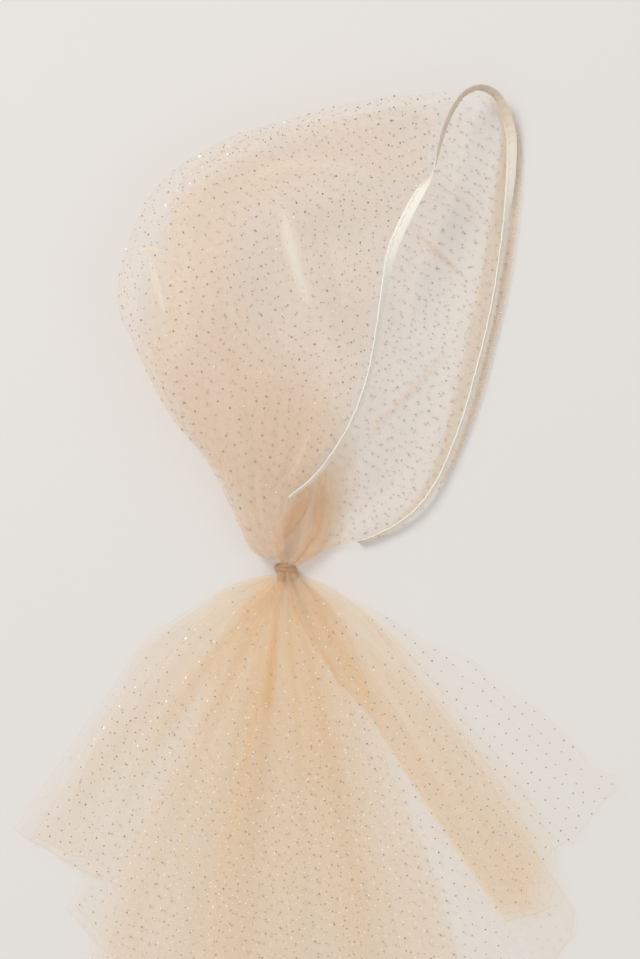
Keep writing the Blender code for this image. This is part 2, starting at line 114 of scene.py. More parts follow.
# Creases of the hood, each a ridge or trough from one place to another on its upper or under side
Crease = namedtuple("Crease", "x0 y0 x1 y1 half_width height upper")
SOFT_CREASES = named(Crease, [
    (-1, 203, 9, 168, 6, 2.6, True),
    (8, 166, 14, 120, 5, 1.6, True),
    (-85, 186, -72, 187, 3, -2.2, True),
    (-76, 182, -70, 150, 5, 2.0, True),
    (-52, 205, -18, 52, 6, 2.2, True),
    (-32, 214, -6, 48, 5, -1.8, True),
    (-22, 150, -2, 38, 4, 1.8, True),
    (8, 136, 0, 46, 4, -1.6, True),
    (24, 118, 6, 56, 4, 1.6, True),
    (-64, 146, -24, 26, 5, 1.9, True),
    (-84, 142, -30, 34, 5, -1.6, True),
    (-44, 252, 30, 258, 7, 1.8, True),
    (20, 256, 76, 246, 6, 1.4, True),
    (-30, 226, 60, 214, 6, 1.5, True),
    (36, 208, 46, 150, 5, 1.3, True),
    (98, 136, 62, 96, 4, 1.4, False),
    (62, 100, 22, 44, 4, 2.0, False),
    (84, 82, 36, 34, 4, 1.4, False),
])

# Plies of the hood: their sections' first and last row, how far their fold and edges lie inside, and their drop
HoodPly = namedtuple("HoodPly", "name first last fold_inset near_inset far_inset drop cover columns rows")
OUTER_PLY = HoodPly("hood_outer_ply", 0.0, 12.0, 0.0, 0.0, 0.0, 0.0, 0.85, 66, 120)
INNER_PLY = HoodPly("hood_inner_ply", 1.7, 11.6, 14.0, 0.6, 14.0, 3.2, 1.0, 60, 110)
INNER_FOLD_INSETS = [
    (1.7, 18.0), (2.5, 13.0), (3.2, 8.0), (4.0, 6.0), (4.6, 8.0), (5.0, 13.0), (5.5, 28.0), (6.0, 31.0),
    (6.5, 31.0), (6.95, 11.0), (7.4, 5.0), (8.0, 3.0), (12.0, 1.0),
]
# How much denser the net is where it is gathered, by row, on the upper and on the under side
UPPER_GATHERS = [
    (5.0, 0.95), (6.0, 1.0), (7.0, 1.1), (8.0, 1.12), (9.0, 1.12), (10.0, 1.08), (11.0, 1.2), (12.0, 1.6),
]
UNDER_GATHERS = [(5.0, 0.9), (7.0, 0.9), (8.0, 0.95), (9.0, 0.95), (10.0, 1.1), (11.0, 1.4), (12.0, 2.0)]

# Folded-over patches of the hood's net: rows of the section, the across range in each, side and depth
PatchRow = namedtuple("PatchRow", "row start end")
HoodPatch = namedtuple("HoodPatch", "name inset upper rows cover soft")
HOOD_PATCHES = named(HoodPatch, [
    ("dense_left", 1.4, True, [ (3.3, 0.50, 0.56), (3.7, 0.40, 0.60), (4.2, 0.30, 0.56), (5.0, 0.27, 0.52),
     (6.0, 0.28, 0.60), (6.6, 0.22, 0.70), (7.2, 0.05, 0.84), (8.0, 0.04, 0.97), (9.0, 0.04, 0.99),
     (11.8, 0.04, 0.99)], 2.5, 0.14),
    ("dense_left_second", 2.1, True, [ (4.4, 0.32, 0.40), (5.0, 0.29, 0.47), (6.0, 0.30, 0.54), (7.0, 0.26, 0.66),
     (8.0, 0.26, 0.80), (9.0, 0.2, 0.92), (11.8, 0.1, 0.98)], 1.8, 0.3),
    ("crown_arc", 0.9, True, [ (2.45, 0.42, 0.98), (2.75, 0.36, 0.99), (3.1, 0.33, 0.98), (3.45, 0.30, 0.86)], 2.0,
     0.12),
    ("crown_arc_second", 1.2, True, [ (3.95, 0.34, 0.99), (4.3, 0.33, 0.985), (4.62, 0.33, 0.8)], 0.9, 0.15),
    ("near_edge_fold", 1.5, True, [ (4.6, 0.86, 0.99), (5.4, 0.80, 0.99), (6.4, 0.76, 0.99), (7.6, 0.66, 0.99),
     (9.0, 0.5, 0.99), (10.4, 0.4, 0.99)], 0.9, 0.3),
    ("lower_folds", 0.8, False, [ (7.2, 0.45, 0.62), (8.0, 0.36, 0.70), (9.0, 0.30, 0.74), (10.0, 0.26, 0.78),
     (11.8, 0.2, 0.8)], 1.6, 0.3),
], {3: PatchRow})

# Narrow strips in plan: painted highlights, whitish sheets along creases where light would catch them, and tucks
# that show in the opening, whose ochre is partly painted shade
StripSpot = namedtuple("StripSpot", "x y half_width lift")
Strip = namedtuple("Strip", "spots cover ochre")
STRIP_ROWS = 34
STRIP_COLUMNS = 12
STRIP_LIFT = 0.5
PAINTED_HIGHLIGHT_STRIPS = named(Strip, [
    ([(-4.0, 220, 2.5, 0), (2.5, 194, 8.5, 0), (8.5, 172, 7.0, 0), (15.0, 146, 2.5, 0)], 1.5, 0.0),
    ([(-80, 187, 2.0, 0), (-74.5, 168, 5.0, 0), (-68, 145, 2.0, 0)], 1.1, 0.0),
    ([(-89, 187, 2.0, 0), (-80, 189.5, 3.4, 0), (-70, 186, 2.0, 0)], 0.9, 0.0),
    ([(-96, 180, 2.0, 0), (-92, 163, 4.5, 0), (-88, 146, 2.0, 0)], 0.5, 0.0),
    ([(-10, 156, 2.0, 0), (-3, 142, 5.0, 0), (6, 124, 2.5, 0)], 0.45, 0.0),
    ([(19, 90, 1.2, 0), (8, 68, 2.4, 0), (-2, 44, 1.6, 0)], 0.5, 0.0),
    ([(-30, 224, 3.0, 0), (8, 238, 8.0, 0), (56, 232, 3.0, 0)], 0.6, 0.0),
    ([(28, 200, 3.0, 0), (33, 176, 9.0, 0), (36, 146, 3.0, 0)], 0.55, 0.0),
    ([(-18, 62, 1.6, 0), (-16, 42, 3.0, 0), (-13, 22, 1.6, 0)], 0.35, 0.0),
    ([(20, 150, 2.0, 0), (24, 120, 7.0, 0), (22, 92, 2.0, 0)], 0.45, 0.0),
], {0: StripSpot})
OPENING_STRIPS = named(Strip, [
    ([(74.0, 207.5, 1.4, 0.4), (84.0, 197.5, 2.8, 0.4), (96.0, 186.0, 3.2, 0.4), (110.0, 173.0, 1.6, 0.4)], 3.4,
     0.3),
    ([(89.0, 234.5, 0.7, 0.4), (100.5, 226.0, 1.0, 0.4), (108.5, 220.0, 1.0, 0.4), (113.0, 210.5, 0.7, 0.4)], 4.0,
     0.4),
    ([(98.5, 137.0, 1.0, 0.4), (83.0, 118.5, 2.2, 0.4), (62.0, 96.0, 3.2, 0.4), (44.0, 74.0, 2.2, 0.4)], 3.0, 0.35),
], {0: StripSpot})

# Turned hem band along the far edge
BAND_WIDTHS = [(0.6, 5.0), (1.5, 8.0), (3.0, 13.0), (5.0, 16.0), (7.0, 15.0), (8.5, 10.0), (10.2, 6.0)]
BAND_FIRST_ROW = 0.6
BAND_LAST_ROW = 10.2
BAND_EDGE_INSET = 0.6
BAND_PLIES = 2
BAND_COVER = 1.35
# Raw edge of the net that stands out past the elastic on the far side
FRINGE_FIRST_ROW = 1.6
FRINGE_LAST_ROW = 8.6
FRINGE_WIDTH = 1.7
FRINGE_COVER = 5.0
FRINGE_STEPS = 420

# Elastic edging
ELASTIC_WIDTH = 6.35
ELASTIC_THICKNESS = 0.8
ELASTIC_RINGS = 360
ElasticPoint = namedtuple("ElasticPoint", "x y z tilt_deg covered")
ELASTIC_LINE = named(ElasticPoint, [
    (2.2, 45.0, 21.0, -76, 0.1),
    (19.5, 60.0, 28.0, -73, 0.0),
    (37.5, 87.0, 34.0, -71, 0.0),
    (48.5, 116.5, 38.0, -68, 0.0),
    (54.5, 149.0, 40.0, -64, 0.0),
    (58.3, 172.0, 40.0, -46, 0.0),
    (62.6, 191.0, 39.5, -12, 0.0),
    (72.5, 213.0, 37.0, 6, 0.0),
    (80.0, 226.0, 35.0, 36, 0.1),
    (86.0, 236.5, 33.0, 84, 0.45),
    (89.0, 248.5, 31.5, 106, 0.75),
    (92.2, 260.0, 30.0, 112, 0.85),
    (97.2, 272.0, 27.0, 113, 0.9),
    (104.4, 282.6, 23.0, 110, 1.0),
    (114.0, 287.6, 18.0, 112, 1.0),
    (124.0, 284.6, 13.0, 128, 1.0),
    (130.4, 274.0, 8.6, 150, 0.9),
    (134.0, 261.0, 6.2, 172, 0.6),
    (134.2, 245.0, 5.5, 192, 0.3),
    (133.0, 228.5, 5.8, 212, 0.15),
    (130.8, 211.0, 6.2, 238, 0.15),
    (128.3, 195.0, 6.5, 252, 0.1),
    (124.4, 169.0, 6.5, 254, 0.1),
    (119.6, 145.0, 6.5, 254, 0.1),
    (113.6, 121.0, 6.5, 254, 0.05),
    (107.0, 97.0, 6.5, 253, 0.0),
    (99.6, 76.0, 6.5, 252, 0.0),
    (90.6, 55.5, 6.5, 251, 0.0),
    (79.3, 39.3, 6.5, 250, 0.0),
    (65.3, 28.0, 5.6, 253, 0.0),
    (50.0, 20.6, 4.4, 260, 0.3),
    (42.5, 18.2, 3.8, 265, 1.0),
])

# Folds of net in the neck, from the knot upwards: places, half widths, how high they stand, cover and ochre depth;
# the ochre is partly the gathered net's own colour and partly painted shade in the hollows between folds
NeckSpot = namedtuple("NeckSpot", "x y half_width z")
NeckFold = namedtuple("NeckFold", "spots height cover ochre")
NECK_FOLDS = named(NeckFold, [
    ([(0.0, 5.0, 4.8, 4.6), (3.0, 14, 9.0, 4.6), (10.0, 30, 14.5, 4.2), (20, 50, 16.0, 3.4), (32, 74, 11.0, 3.0)],
     3.0, 2.8, 0.4),
    ([(-1.5, 5.0, 1.6, 6.0), (-5.0, 17.5, 2.6, 8.0), (4.5, 32.5, 4.4, 8.0), (13.5, 50, 3.4, 7.0),
     (20, 62, 2.0, 6.0)], 2.2, 5.0, 1.0),
    ([(4.0, 6.0, 1.5, 8.0), (12.0, 16, 2.0, 8.0), (18.6, 28, 3.4, 8.0), (20.5, 55, 3.2, 6.4), (26, 74, 1.6, 5.0)],
     2.0, 4.4, 0.95),
    ([(1.5, 5.0, 1.6, 10.0), (8.5, 13.8, 2.6, 10.6), (12.0, 28, 3.2, 10.6), (15.5, 44, 2.6, 9.6),
     (20, 62, 1.4, 8.6)], 2.6, 2.8, 0.12),
    ([(5.2, 5.0, 2.2, 9.0), (13.2, 11.0, 4.0, 8.4), (21, 23, 6.4, 8.0), (27, 42, 6.4, 7.0), (34, 92, 6.0, 6.0)],
     2.0, 4.0, 0.7),
    ([(-1.0, 5.0, 2.6, 11.0), (-5.5, 16, 4.6, 12.4), (-2.5, 32, 4.2, 14.4), (6, 52, 2.8, 18.0),
     (15, 76, 1.4, 22.4)], 2.2, 2.6, 0.15),
    ([(-5.0, 5.4, 1.8, 9.0), (-12.5, 18, 3.2, 11.5), (-13.5, 40, 4.0, 14.5), (-9, 70, 3.0, 19.0),
     (-2, 106, 1.5, 25.0)], 2.2, 1.0, 0.0),
    ([(-6.8, 5.6, 1.6, 7.4), (-17, 19, 3.0, 9.4), (-24, 42, 3.8, 11.5), (-31, 74, 2.6, 15.0),
     (-39, 108, 1.2, 18.0)], 2.0, 0.8, 0.0),
    # The last fold runs along the hood's lower hem; its ochre also stands in for the shadow on the surface below
    # it: painted shadow.
    ([(6.6, 5.8, 1.6, 6.0), (16.5, 12.5, 3.0, 5.4), (28, 18.0, 2.8, 4.8), (43, 19.2, 1.6, 4.4)], 1.4, 4.6, 0.5),
], {0: NeckSpot})
FLARE_FOLDS = named(NeckFold, [
    ([(0.6, 0.4, 1.9, 14.2), (1.2, -6.0, 2.7, 13.8), (3.2, -17, 3.4, 12.6), (5.2, -34, 2.0, 11.6)], 1.2, 4.4, 0.35),
    ([(-1.6, -0.6, 1.6, 14.0), (-4.2, -7.0, 2.2, 13.4), (-7.4, -20, 2.4, 12.4), (-9.5, -42, 1.4, 11.0)], 1.2, 4.6,
     0.8),
    ([(2.9, -0.2, 1.9, 13.6), (6.6, -6.0, 2.8, 12.8), (14.0, -16, 3.4, 11.4), (25, -32, 1.8, 10.0)], 1.2, 4.0,
     0.15),
    ([(-3.3, 0.2, 1.7, 13.2), (-7.4, -5.2, 2.8, 12.4), (-15.5, -13.5, 3.6, 11.0), (-28, -25, 2.0, 9.6)], 1.2, 3.8,
     0.1),
    ([(4.6, 0.6, 1.6, 9.8), (11.5, -4.8, 2.4, 9.6), (23, -11.5, 3.0, 9.0), (39, -20.5, 1.6, 8.0)], 1.6, 1.5, 0.1),
], {0: NeckSpot})
NECK_ROWS = 46
NECK_COLUMNS = 12
NECK_COVER = 1.6

# Knot
KNOT_HALF_WIDTH = 6.7
KNOT_HALF_HEIGHT = 6.3
KNOT_MIDDLE_Z = 7.4
KnotWrap = namedtuple("KnotWrap", "y tilt width thickness swell")
KNOT_WRAPS = named(KnotWrap, [
    (2.6, -0.12, 4.8, 0.9, -1.0),
    (0.2, -0.34, 5.6, 1.3, 0.1),
    (-2.6, 0.06, 4.4, 0.9, -0.8),
])
WRAP_SIDES = 96
WRAP_RING = 18
WRAP_PLEATS = 4

# Tail
TAIL_PITCH = 2.45
KNOT_PITCH = 2.75
PITCH_FADE = 28.0
KNOT_CLEAR_Y = 4.6
KNOT_CLEAR_X = 7.4
TailFold = namedtuple("TailFold", "angle half_width height")
TAIL_FOLDS = named(TailFold, [
    (-44.0, 4.5, 5.0),
    (-35.5, 4.0, 3.5),
    (-26.5, 5.0, 5.5),
    (-17.0, 4.0, 3.5),
    (-9.0, 4.5, 6.0),
    (1.0, 4.0, 4.0),
    (9.5, 4.5, 5.5),
    (18.5, 4.0, 3.5),
    (30.0, 5.0, 5.0),
    (40.0, 4.5, 4.5),
    (50.0, 5.0, 5.5),
])
FOLD_START_RADIUS = 14.0
FOLD_FULL_RADIUS = 105.0
FAN_SPREAD = 0.6
FAN_FADE = 70.0
WING_LIFT = 11.0
WING_LIFT_ANGLES = (44.0, 60.0)
WING_LIFT_RADII = (150.0, 240.0)
FINE_FOLD_HEIGHT = 0.9
FINE_FOLD_DEGREES = 2.3
TAIL_ROWS = 70
DEGREES_PER_COLUMN = 0.62
PLY_EDGE_FADE = 2.5
# Extra cover of each layer near the knot, and how fast it fades
KNOT_HEAPS = {
    "tail_under_layer": 0.3,
    "tail_right_wing": 0.5,
    "tail_right_band": -0.3,
    "tail_left_wing_outer": 1.5,
    "tail_left_wing_inner": 1.5,
    "tail_centre_lower": -0.05,
    "tail_centre_upper": 0.05,
}
KNOT_HEAP_FADE = 55.0
CORNER_COVER = 1.2
TUCK_COVER = 1.7
TUCK_ROWS = 46
TUCK_COLUMNS = 8
LEAST_COVER = 0.02
PanelEdge = namedtuple("PanelEdge", "radius left right")
PanelHem = namedtuple("PanelHem", "share radius")
# Each ply of a panel: degrees taken off its left and right edge, hem millimetres taken off, height and cover
TailPly = namedtuple("TailPly", "left right hem height cover")
TailPanel = namedtuple("TailPanel", "name node level edges hem plies")
TAIL_PANELS = named(TailPanel, [
    ("tail_under_plies", "tail_under_layer", 0, [(8, -60, 58), (60, -46, 50), (134, -39, 45), (214, -34, 42),
     (246, -33.2, 41.0), (285, -32, 39.5)], [(0.0, 242), (0.07, 248), (0.2, 262), (0.45, 273), (0.8, 287),
     (0.93, 284), (0.98, 276), (1.0, 266)], [(0, 0, 0, 0.0, 1.0), (1.0, 9.0, 5, 0.6, 0.8)]),
    ("tail_right_wing_ply", "tail_right_wing", 1, [(8, 38, 82), (16, 40, 76), (34, 41, 69), (92, 41, 64),
     (118, 40, 65), (155, 38, 62), (188, 36, 60.5), (215, 36, 57.4), (235, 36, 58.8)], [(0.0, 236), (0.33, 230),
     (0.5, 234), (0.77, 232), (1.0, 235)], [(0, 0, 0, 0.0, 1.0)]),
    ("tail_right_band_plies", "tail_right_band", 2, [(8, 8, 78), (30, 15, 70), (60, 24, 62), (99, 30, 54.5),
     (134, 30.3, 51), (190, 31.2, 47.6), (246, 32.1, 42.6)], [(0.0, 246), (0.2, 250), (0.55, 255), (0.85, 244),
     (1.0, 231)], [(0, 0, 0, 0.0, 1.8), (0.4, 2.6, 5, 0.5, 2.0), (0.9, 4.4, 11, 1.0, 1.8)]),
    ("tail_left_wing_outer_plies", "tail_left_wing_outer", 1, [(8, -82, -30), (29, -78, -33), (55, -70, -35),
     (90, -65, -36), (128, -56, -37), (177, -50, -37), (224, -46.7, -33.6)], [(0.0, 224), (0.4, 220), (0.7, 218),
     (1.0, 214)], [(0, 0, 0, 0.0, 1.3), (3.0, 0.6, 5, 0.6, 1.6)]),
    ("tail_left_wing_inner_plies", "tail_left_wing_inner", 2, [(8, -74, -26), (60, -60, -27), (100, -53, -28),
     (155, -47.5, -28), (187, -42.9, -28), (216, -39.5, -28)], [(0.0, 219), (0.5, 216), (1.0, 211)],
     [(0, 0, 0, 0.0, 1.6)]),
    ("tail_centre_lower_plies", "tail_centre_lower", 3, [(8, -66, 64), (45, -42, 46), (99, -32.2, 30),
     (141, -30.6, 27.4), (205, -29.2, 25.7), (254, -27.4, 23.8), (285, -25.8, 23.2)], [(0.0, 284), (0.25, 278),
     (0.55, 275), (0.8, 278), (1.0, 280)], [(0, 0, 0, 0.0, 1.4), (0.5, 0.25, 4, 0.6, 1.4),
     (1.6, 0.6, 9, 1.2, 1.3)]),
    ("tail_centre_upper_plies", "tail_centre_upper", 4, [(8, -58, 56), (45, -37, 40), (99, -28, 26),
     (160, -24.5, 22), (270, -20.5, 18.5)], [(0.0, 270), (0.4, 266), (0.7, 268), (1.0, 272)],
     [(3.0, 3.0, 0, 0.0, 1.2), (11.0, 8.0, 6, 0.7, 1.2)]),
], {3: PanelEdge, 4: PanelHem, 5: TailPly})
# Narrow tucks that lie on the tail: radii, their direction in degrees at each, half width, level and cover, and
# their ochre, which is partly the net's own colour and partly painted shade in the gaps between pleats
Tuck = namedtuple("Tuck", "start end angle_start angle_end half_width level cover ochre")
TAIL_TUCKS = named(Tuck, [
    (7, 36, 12.0, 12.3, 3.4, 4.9, 4.0, 1.0),
    (18, 90, -12.5, -8.0, 4.2, 4.9, 4.6, 1.0),
    (34, 80, 22.5, 26.0, 1.3, 4.9, 2.6, 0.9),
    (16, 56, -26.0, -22.0, 2.2, 4.9, 2.6, 0.7),
    (14, 70, 3.0, 3.5, 2.0, 5.0, 2.2, 0.5),
    (12, 60, -34.0, -27.0, 3.0, 4.9, 1.4, 0.5),
    (16, 72, 34.0, 41.0, 1.6, 5.1, 1.6, 0.0),
    (8, 60, 0.0, 0.5, 4.0, 5.1, 1.6, 0.0),
    (8, 70, -20.0, -17.0, 3.0, 5.1, 1.4, 0.0),
    (40, 214, -47.0, -32.0, 1.5, 2.6, 0.8, 0.0),
    (22, 140, -24.0, -9.0, 2.2, 4.8, 0.9, 0.2),
    (150, 262, 0.0, 2.4, 1.1, 4.9, 0.8, 0.2),
    (30, 250, 12.0, 9.5, 2.2, 4.8, 0.6, 0.0),
    (30, 255, -12.0, -14.0, 1.8, 4.8, 0.6, 0.0),
    (50, 230, 42.0, 38.0, 1.6, 3.2, 0.7, 0.1),
    (60, 226, 54.0, 45.0, 1.2, 3.1, 0.6, 0.0),
    (36, 200, -62.0, -46.5, 1.3, 2.5, 0.6, 0.0),
    (70, 262, 22.0, 19.0, 1.2, 4.8, 0.6, 0.0),
    (60, 262, -25.0, -24.0, 1.4, 4.6, 0.6, 0.0),
])

# Glitter dots
DOT_RADIUS = 0.54
DOT_SIDES = 6
DOT_PITCH_ACROSS = 7.8
DOT_PITCH_ALONG = 6.8
DOT_TILT = 0.1
DOT_LIFT = 0.22
DOT_LEVELLING = 1.2
DOT_JITTER = 0.9
# Paleness of dots by where they lie: dots on lower plies, under other cloth, low in the opening and on the upright
# fold are painted paler than top dots, to offset the shade they lie in (painted light).
LOWER_PALENESS = 0.45
TOP_PALENESS = 0.12
OPEN_PALENESS = 0.32
FOLD_PALENESS = 0.25
LAYER_PALENESS = 0.5
MIDDLE_PALENESS = 0.22
UPPER_SIDE_Z = 0.02
HOOD_DOT_LEVELLING = 3.0
COVERED_DEPTH = 0.006
DOT_NEAREST_KNOT = 24.0

# Net
NET_PITCH = 0.0011
NET_CONTRAST = 0.35
PLY_ALPHA = 0.066
EDGE_COVER = 0.8
EDGE_LINE = 2.5
HEM_LINE = 3.6
TULLE_COLOUR = (1.0, 0.862, 0.715, 1.0)
# TULLE_DEEP_COLOUR is where the valley value takes the threads: partly the denser net's own ochre, partly painted
# shade in the hollows between folds.
TULLE_DEEP_COLOUR = (0.85, 0.58, 0.32, 1.0)
TAIL_ALPHA = 0.048
TAIL_COLOUR = (1.0, 0.895, 0.73, 1.0)
TAIL_TINT = (1.0, 0.905, 0.785, 1.0)
TAIL_TINT_GAIN = 2.0
TAIL_SCATTER = 0.5
# Painted highlights: whitish, denser sheets laid along creases where light would catch them.
PAINTED_HIGHLIGHT_ALPHA = 0.6
PAINTED_HIGHLIGHT_COLOUR = (1.0, 0.965, 0.895, 1.0)
THREAD_TINT = (1.0, 0.895, 0.795, 1.0)
CLEAR = (1.0, 1.0, 1.0, 1.0)


def smooth_rise(start, end, value):
    """0 before start, 1 after end and a smooth rise between them."""
    share = min(1.0, max(0.0, (value - start) / (end - start)))
    return share * share * (3.0 - 2.0 * share)


def mix(a, b, share):
    return a + (b - a) * share


def bump(distance, half_width):
    """A round ridge of height 1 that is exactly 0 outside its half width."""
    if abs(distance) >= half_width:
        return 0.0
    return 0.5 + 0.5 * math.cos(math.pi * distance / half_width)


def between_rows(rows, place):
    """A row worked out between a table's rows by a smooth curve through all of them."""
    place = min(max(place, 0.0), len(rows) - 1.0)
    index = min(int(place), len(rows) - 2)
    t = place - index
    before = rows[max(index - 1, 0)]
    start = rows[index]
    end = rows[index + 1]
    after = rows[min(index + 2, len(rows) - 1)]
    t2 = t * t
    t3 = t2 * t
    values = []
    for a, b, c, d in zip(before, start, end, after):
        values.append(
            (2 * t3 - 3 * t2 + 1) * b + (t3 - 2 * t2 + t) * 0.5 * (c - a)
            + (3 * t2 - 2 * t3) * c + (t3 - t2) * 0.5 * (d - b)
        )
    return type(start)(*values)


def from_table(table, key):
    """The values of a table whose first column is the key, eased from row to row."""
    if key <= table[0][0]:
        return table[0][1:]
    for low, high in zip(table, table[1:]):
        if key <= high[0]:
            share = (key - low[0]) / (high[0] - low[0])
            return tuple(mix(a, b, share) for a, b in zip(low[1:], high[1:]))
    return table[-1][1:]


def world(point):
    """A place in millimetres from the knot, in the row's frame in metres."""
    return Vector(point) * MM + DATUM


class Nodes:
    """Short names for making and joining shader nodes."""

    def __init__(self, material):
        material.use_nodes = True
        self.tree = material.node_tree
        self.tree.nodes.clear()

    def add(self, kind, **values):
        node = self.tree.nodes.new(kind)
        for key, value in values.items():
            setattr(node, key, value)
        return node

    def link(self, source, target):
        self.tree.links.new(source, target)

    def put(self, socket, value):
        """Joins an output to the socket, or sets the socket to a plain value."""
        if isinstance(value, bpy.types.NodeSocket):
            self.link(value, socket)
        else:
            socket.default_value = value

    def math(self, operation, a, b=0.0, clamp=False):
        node = self.add("ShaderNodeMath", operation=operation, use_clamp=clamp)
        self.put(node.inputs[0], a)
        self.put(node.inputs[1], b)
        return node.outputs[0]

    def attribute(self, name):
        return self.add("ShaderNodeAttribute", attribute_name=name).outputs["Fac"]

    def noise(self, vector, scale, detail=2.0, roughness=0.5):
        node = self.add("ShaderNodeTexNoise")
        node.inputs["Scale"].default_value = scale
        node.inputs["Detail"].default_value = detail
        node.inputs["Roughness"].default_value = roughness
        self.put(node.inputs["Vector"], vector)
        return node.outputs["Fac"]

    def blend(self, factor, a, b):
        node = self.add("ShaderNodeMix", data_type="RGBA")
        self.put(node.inputs["Factor"], factor)
        self.put(node.inputs[6], a)
        self.put(node.inputs[7], b)
        return node.outputs[2]

    def output(self, shader):
        out = self.add("ShaderNodeOutputMaterial")
        self.link(shader, out.inputs["Surface"])


def net_pattern(nodes, uv):
    """A hexagonal net from three cosine waves in the cloth's own metres, about 1 on the threads."""
    parts = nodes.add("ShaderNodeSeparateXYZ")
    nodes.link(uv, parts.inputs[0])
    total = None
    for turn in (0.0, 2.0 * math.pi / 3.0, 4.0 * math.pi / 3.0):
        along = nodes.math("MULTIPLY", parts.outputs[0], math.cos(turn) * 2.0 * math.pi / NET_PITCH)
        across = nodes.math("MULTIPLY", parts.outputs[1], math.sin(turn) * 2.0 * math.pi / NET_PITCH)
        wave = nodes.math("COSINE", nodes.math("ADD", along, across))
        total = wave if total is None else nodes.math("ADD", total, wave)
    return nodes.math("MULTIPLY", total, -1.0 / 3.0)


def tulle_material(name, alpha, colour, deep_colour, tint_gain=1.0, scatter=1.0,
                   net_contrast=NET_CONTRAST, thread_tint=THREAD_TINT):
    """Sheer net: see-through, with its threads' share from the cover attribute and a fine hexagonal net."""
    material = bpy.data.materials.new(name)
    nodes = Nodes(material)
    cover = nodes.attribute("cover")
    uv = nodes.add("ShaderNodeUVMap", uv_map="cloth").outputs[0]
    net = nodes.math("MULTIPLY_ADD", net_pattern(nodes, uv), net_contrast)
    net.node.inputs[2].default_value = 1.0
    share = nodes.math("MULTIPLY", nodes.math("MULTIPLY", cover, net), alpha)
    share = nodes.math("MINIMUM", share, 0.97)
    # The valley value blends the threads towards the deep colour: partly the denser net's own ochre, partly painted
    # shade in the hollows between folds.
    tint = nodes.blend(nodes.attribute("valley_tone_and_shade"), colour, deep_colour)
    cloth = nodes.add("ShaderNodeBsdfDiffuse")
    nodes.link(tint, cloth.inputs["Color"])
    through = nodes.add("ShaderNodeBsdfTranslucent")
    nodes.link(tint, through.inputs["Color"])
    thread = nodes.add("ShaderNodeMixShader")
    thread.inputs[0].default_value = 0.5
    nodes.link(cloth.outputs[0], thread.inputs[1])
    nodes.link(through.outputs[0], thread.inputs[2])
    gap = nodes.add("ShaderNodeBsdfTransparent")
    tinted = nodes.math("MULTIPLY", share, tint_gain, clamp=True)
    nodes.link(nodes.blend(tinted, CLEAR, thread_tint), gap.inputs["Color"])
    both = nodes.add("ShaderNodeMixShader")
    nodes.link(nodes.math("MULTIPLY", share, scatter), both.inputs[0])
    nodes.link(gap.outputs[0], both.inputs[1])
    nodes.link(thread.outputs[0], both.inputs[2])
    nodes.output(both.outputs[0])
    return material


def gathered_material(name, light, deep):
    """Tightly gathered net: nearly closed, painted light on its ridges and dark in its hollows, where the dark is
    painted shade along with the net's own warm colour.
    """
    material = bpy.data.materials.new(name)
    nodes = Nodes(material)
    valley_tone_and_shade = nodes.attribute("valley_tone_and_shade")
    uv = nodes.add("ShaderNodeUVMap", uv_map="cloth").outputs[0]
    stretch = nodes.add("ShaderNodeMapping")
    stretch.inputs["Scale"].default_value = (900.0, 40.0, 1.0)
    nodes.link(uv, stretch.inputs["Vector"])
    streak = nodes.noise(stretch.outputs[0], 1.0, 4.0, 0.6)
    factor = nodes.math("MULTIPLY_ADD", streak, 0.7)
    factor.node.inputs[2].default_value = -0.35
    factor = nodes.math("ADD", valley_tone_and_shade, factor, clamp=True)
    cloth = nodes.add("ShaderNodeBsdfPrincipled")
    nodes.link(nodes.blend(factor, light, deep), cloth.inputs["Base Color"])
    cloth.inputs["Roughness"].default_value = 0.6
    cloth.inputs["Specular IOR Level"].default_value = 0.3
    cloth.inputs["Sheen Weight"].default_value = 0.25
    ridges = nodes.add("ShaderNodeBump")
    ridges.inputs["Strength"].default_value = 0.5
    ridges.inputs["Distance"].default_value = 0.0004
    nodes.link(streak, ridges.inputs["Height"])
    nodes.link(ridges.outputs[0], cloth.inputs["Normal"])
    gap = nodes.add("ShaderNodeBsdfTransparent")
    share = nodes.math("MULTIPLY", nodes.attribute("cover"), 0.94)
    both = nodes.add("ShaderNodeMixShader")
    nodes.link(share, both.inputs[0])
    nodes.link(gap.outputs[0], both.inputs[1])
    nodes.link(cloth.outputs[0], both.inputs[2])
    nodes.output(both.outputs[0])
    return material


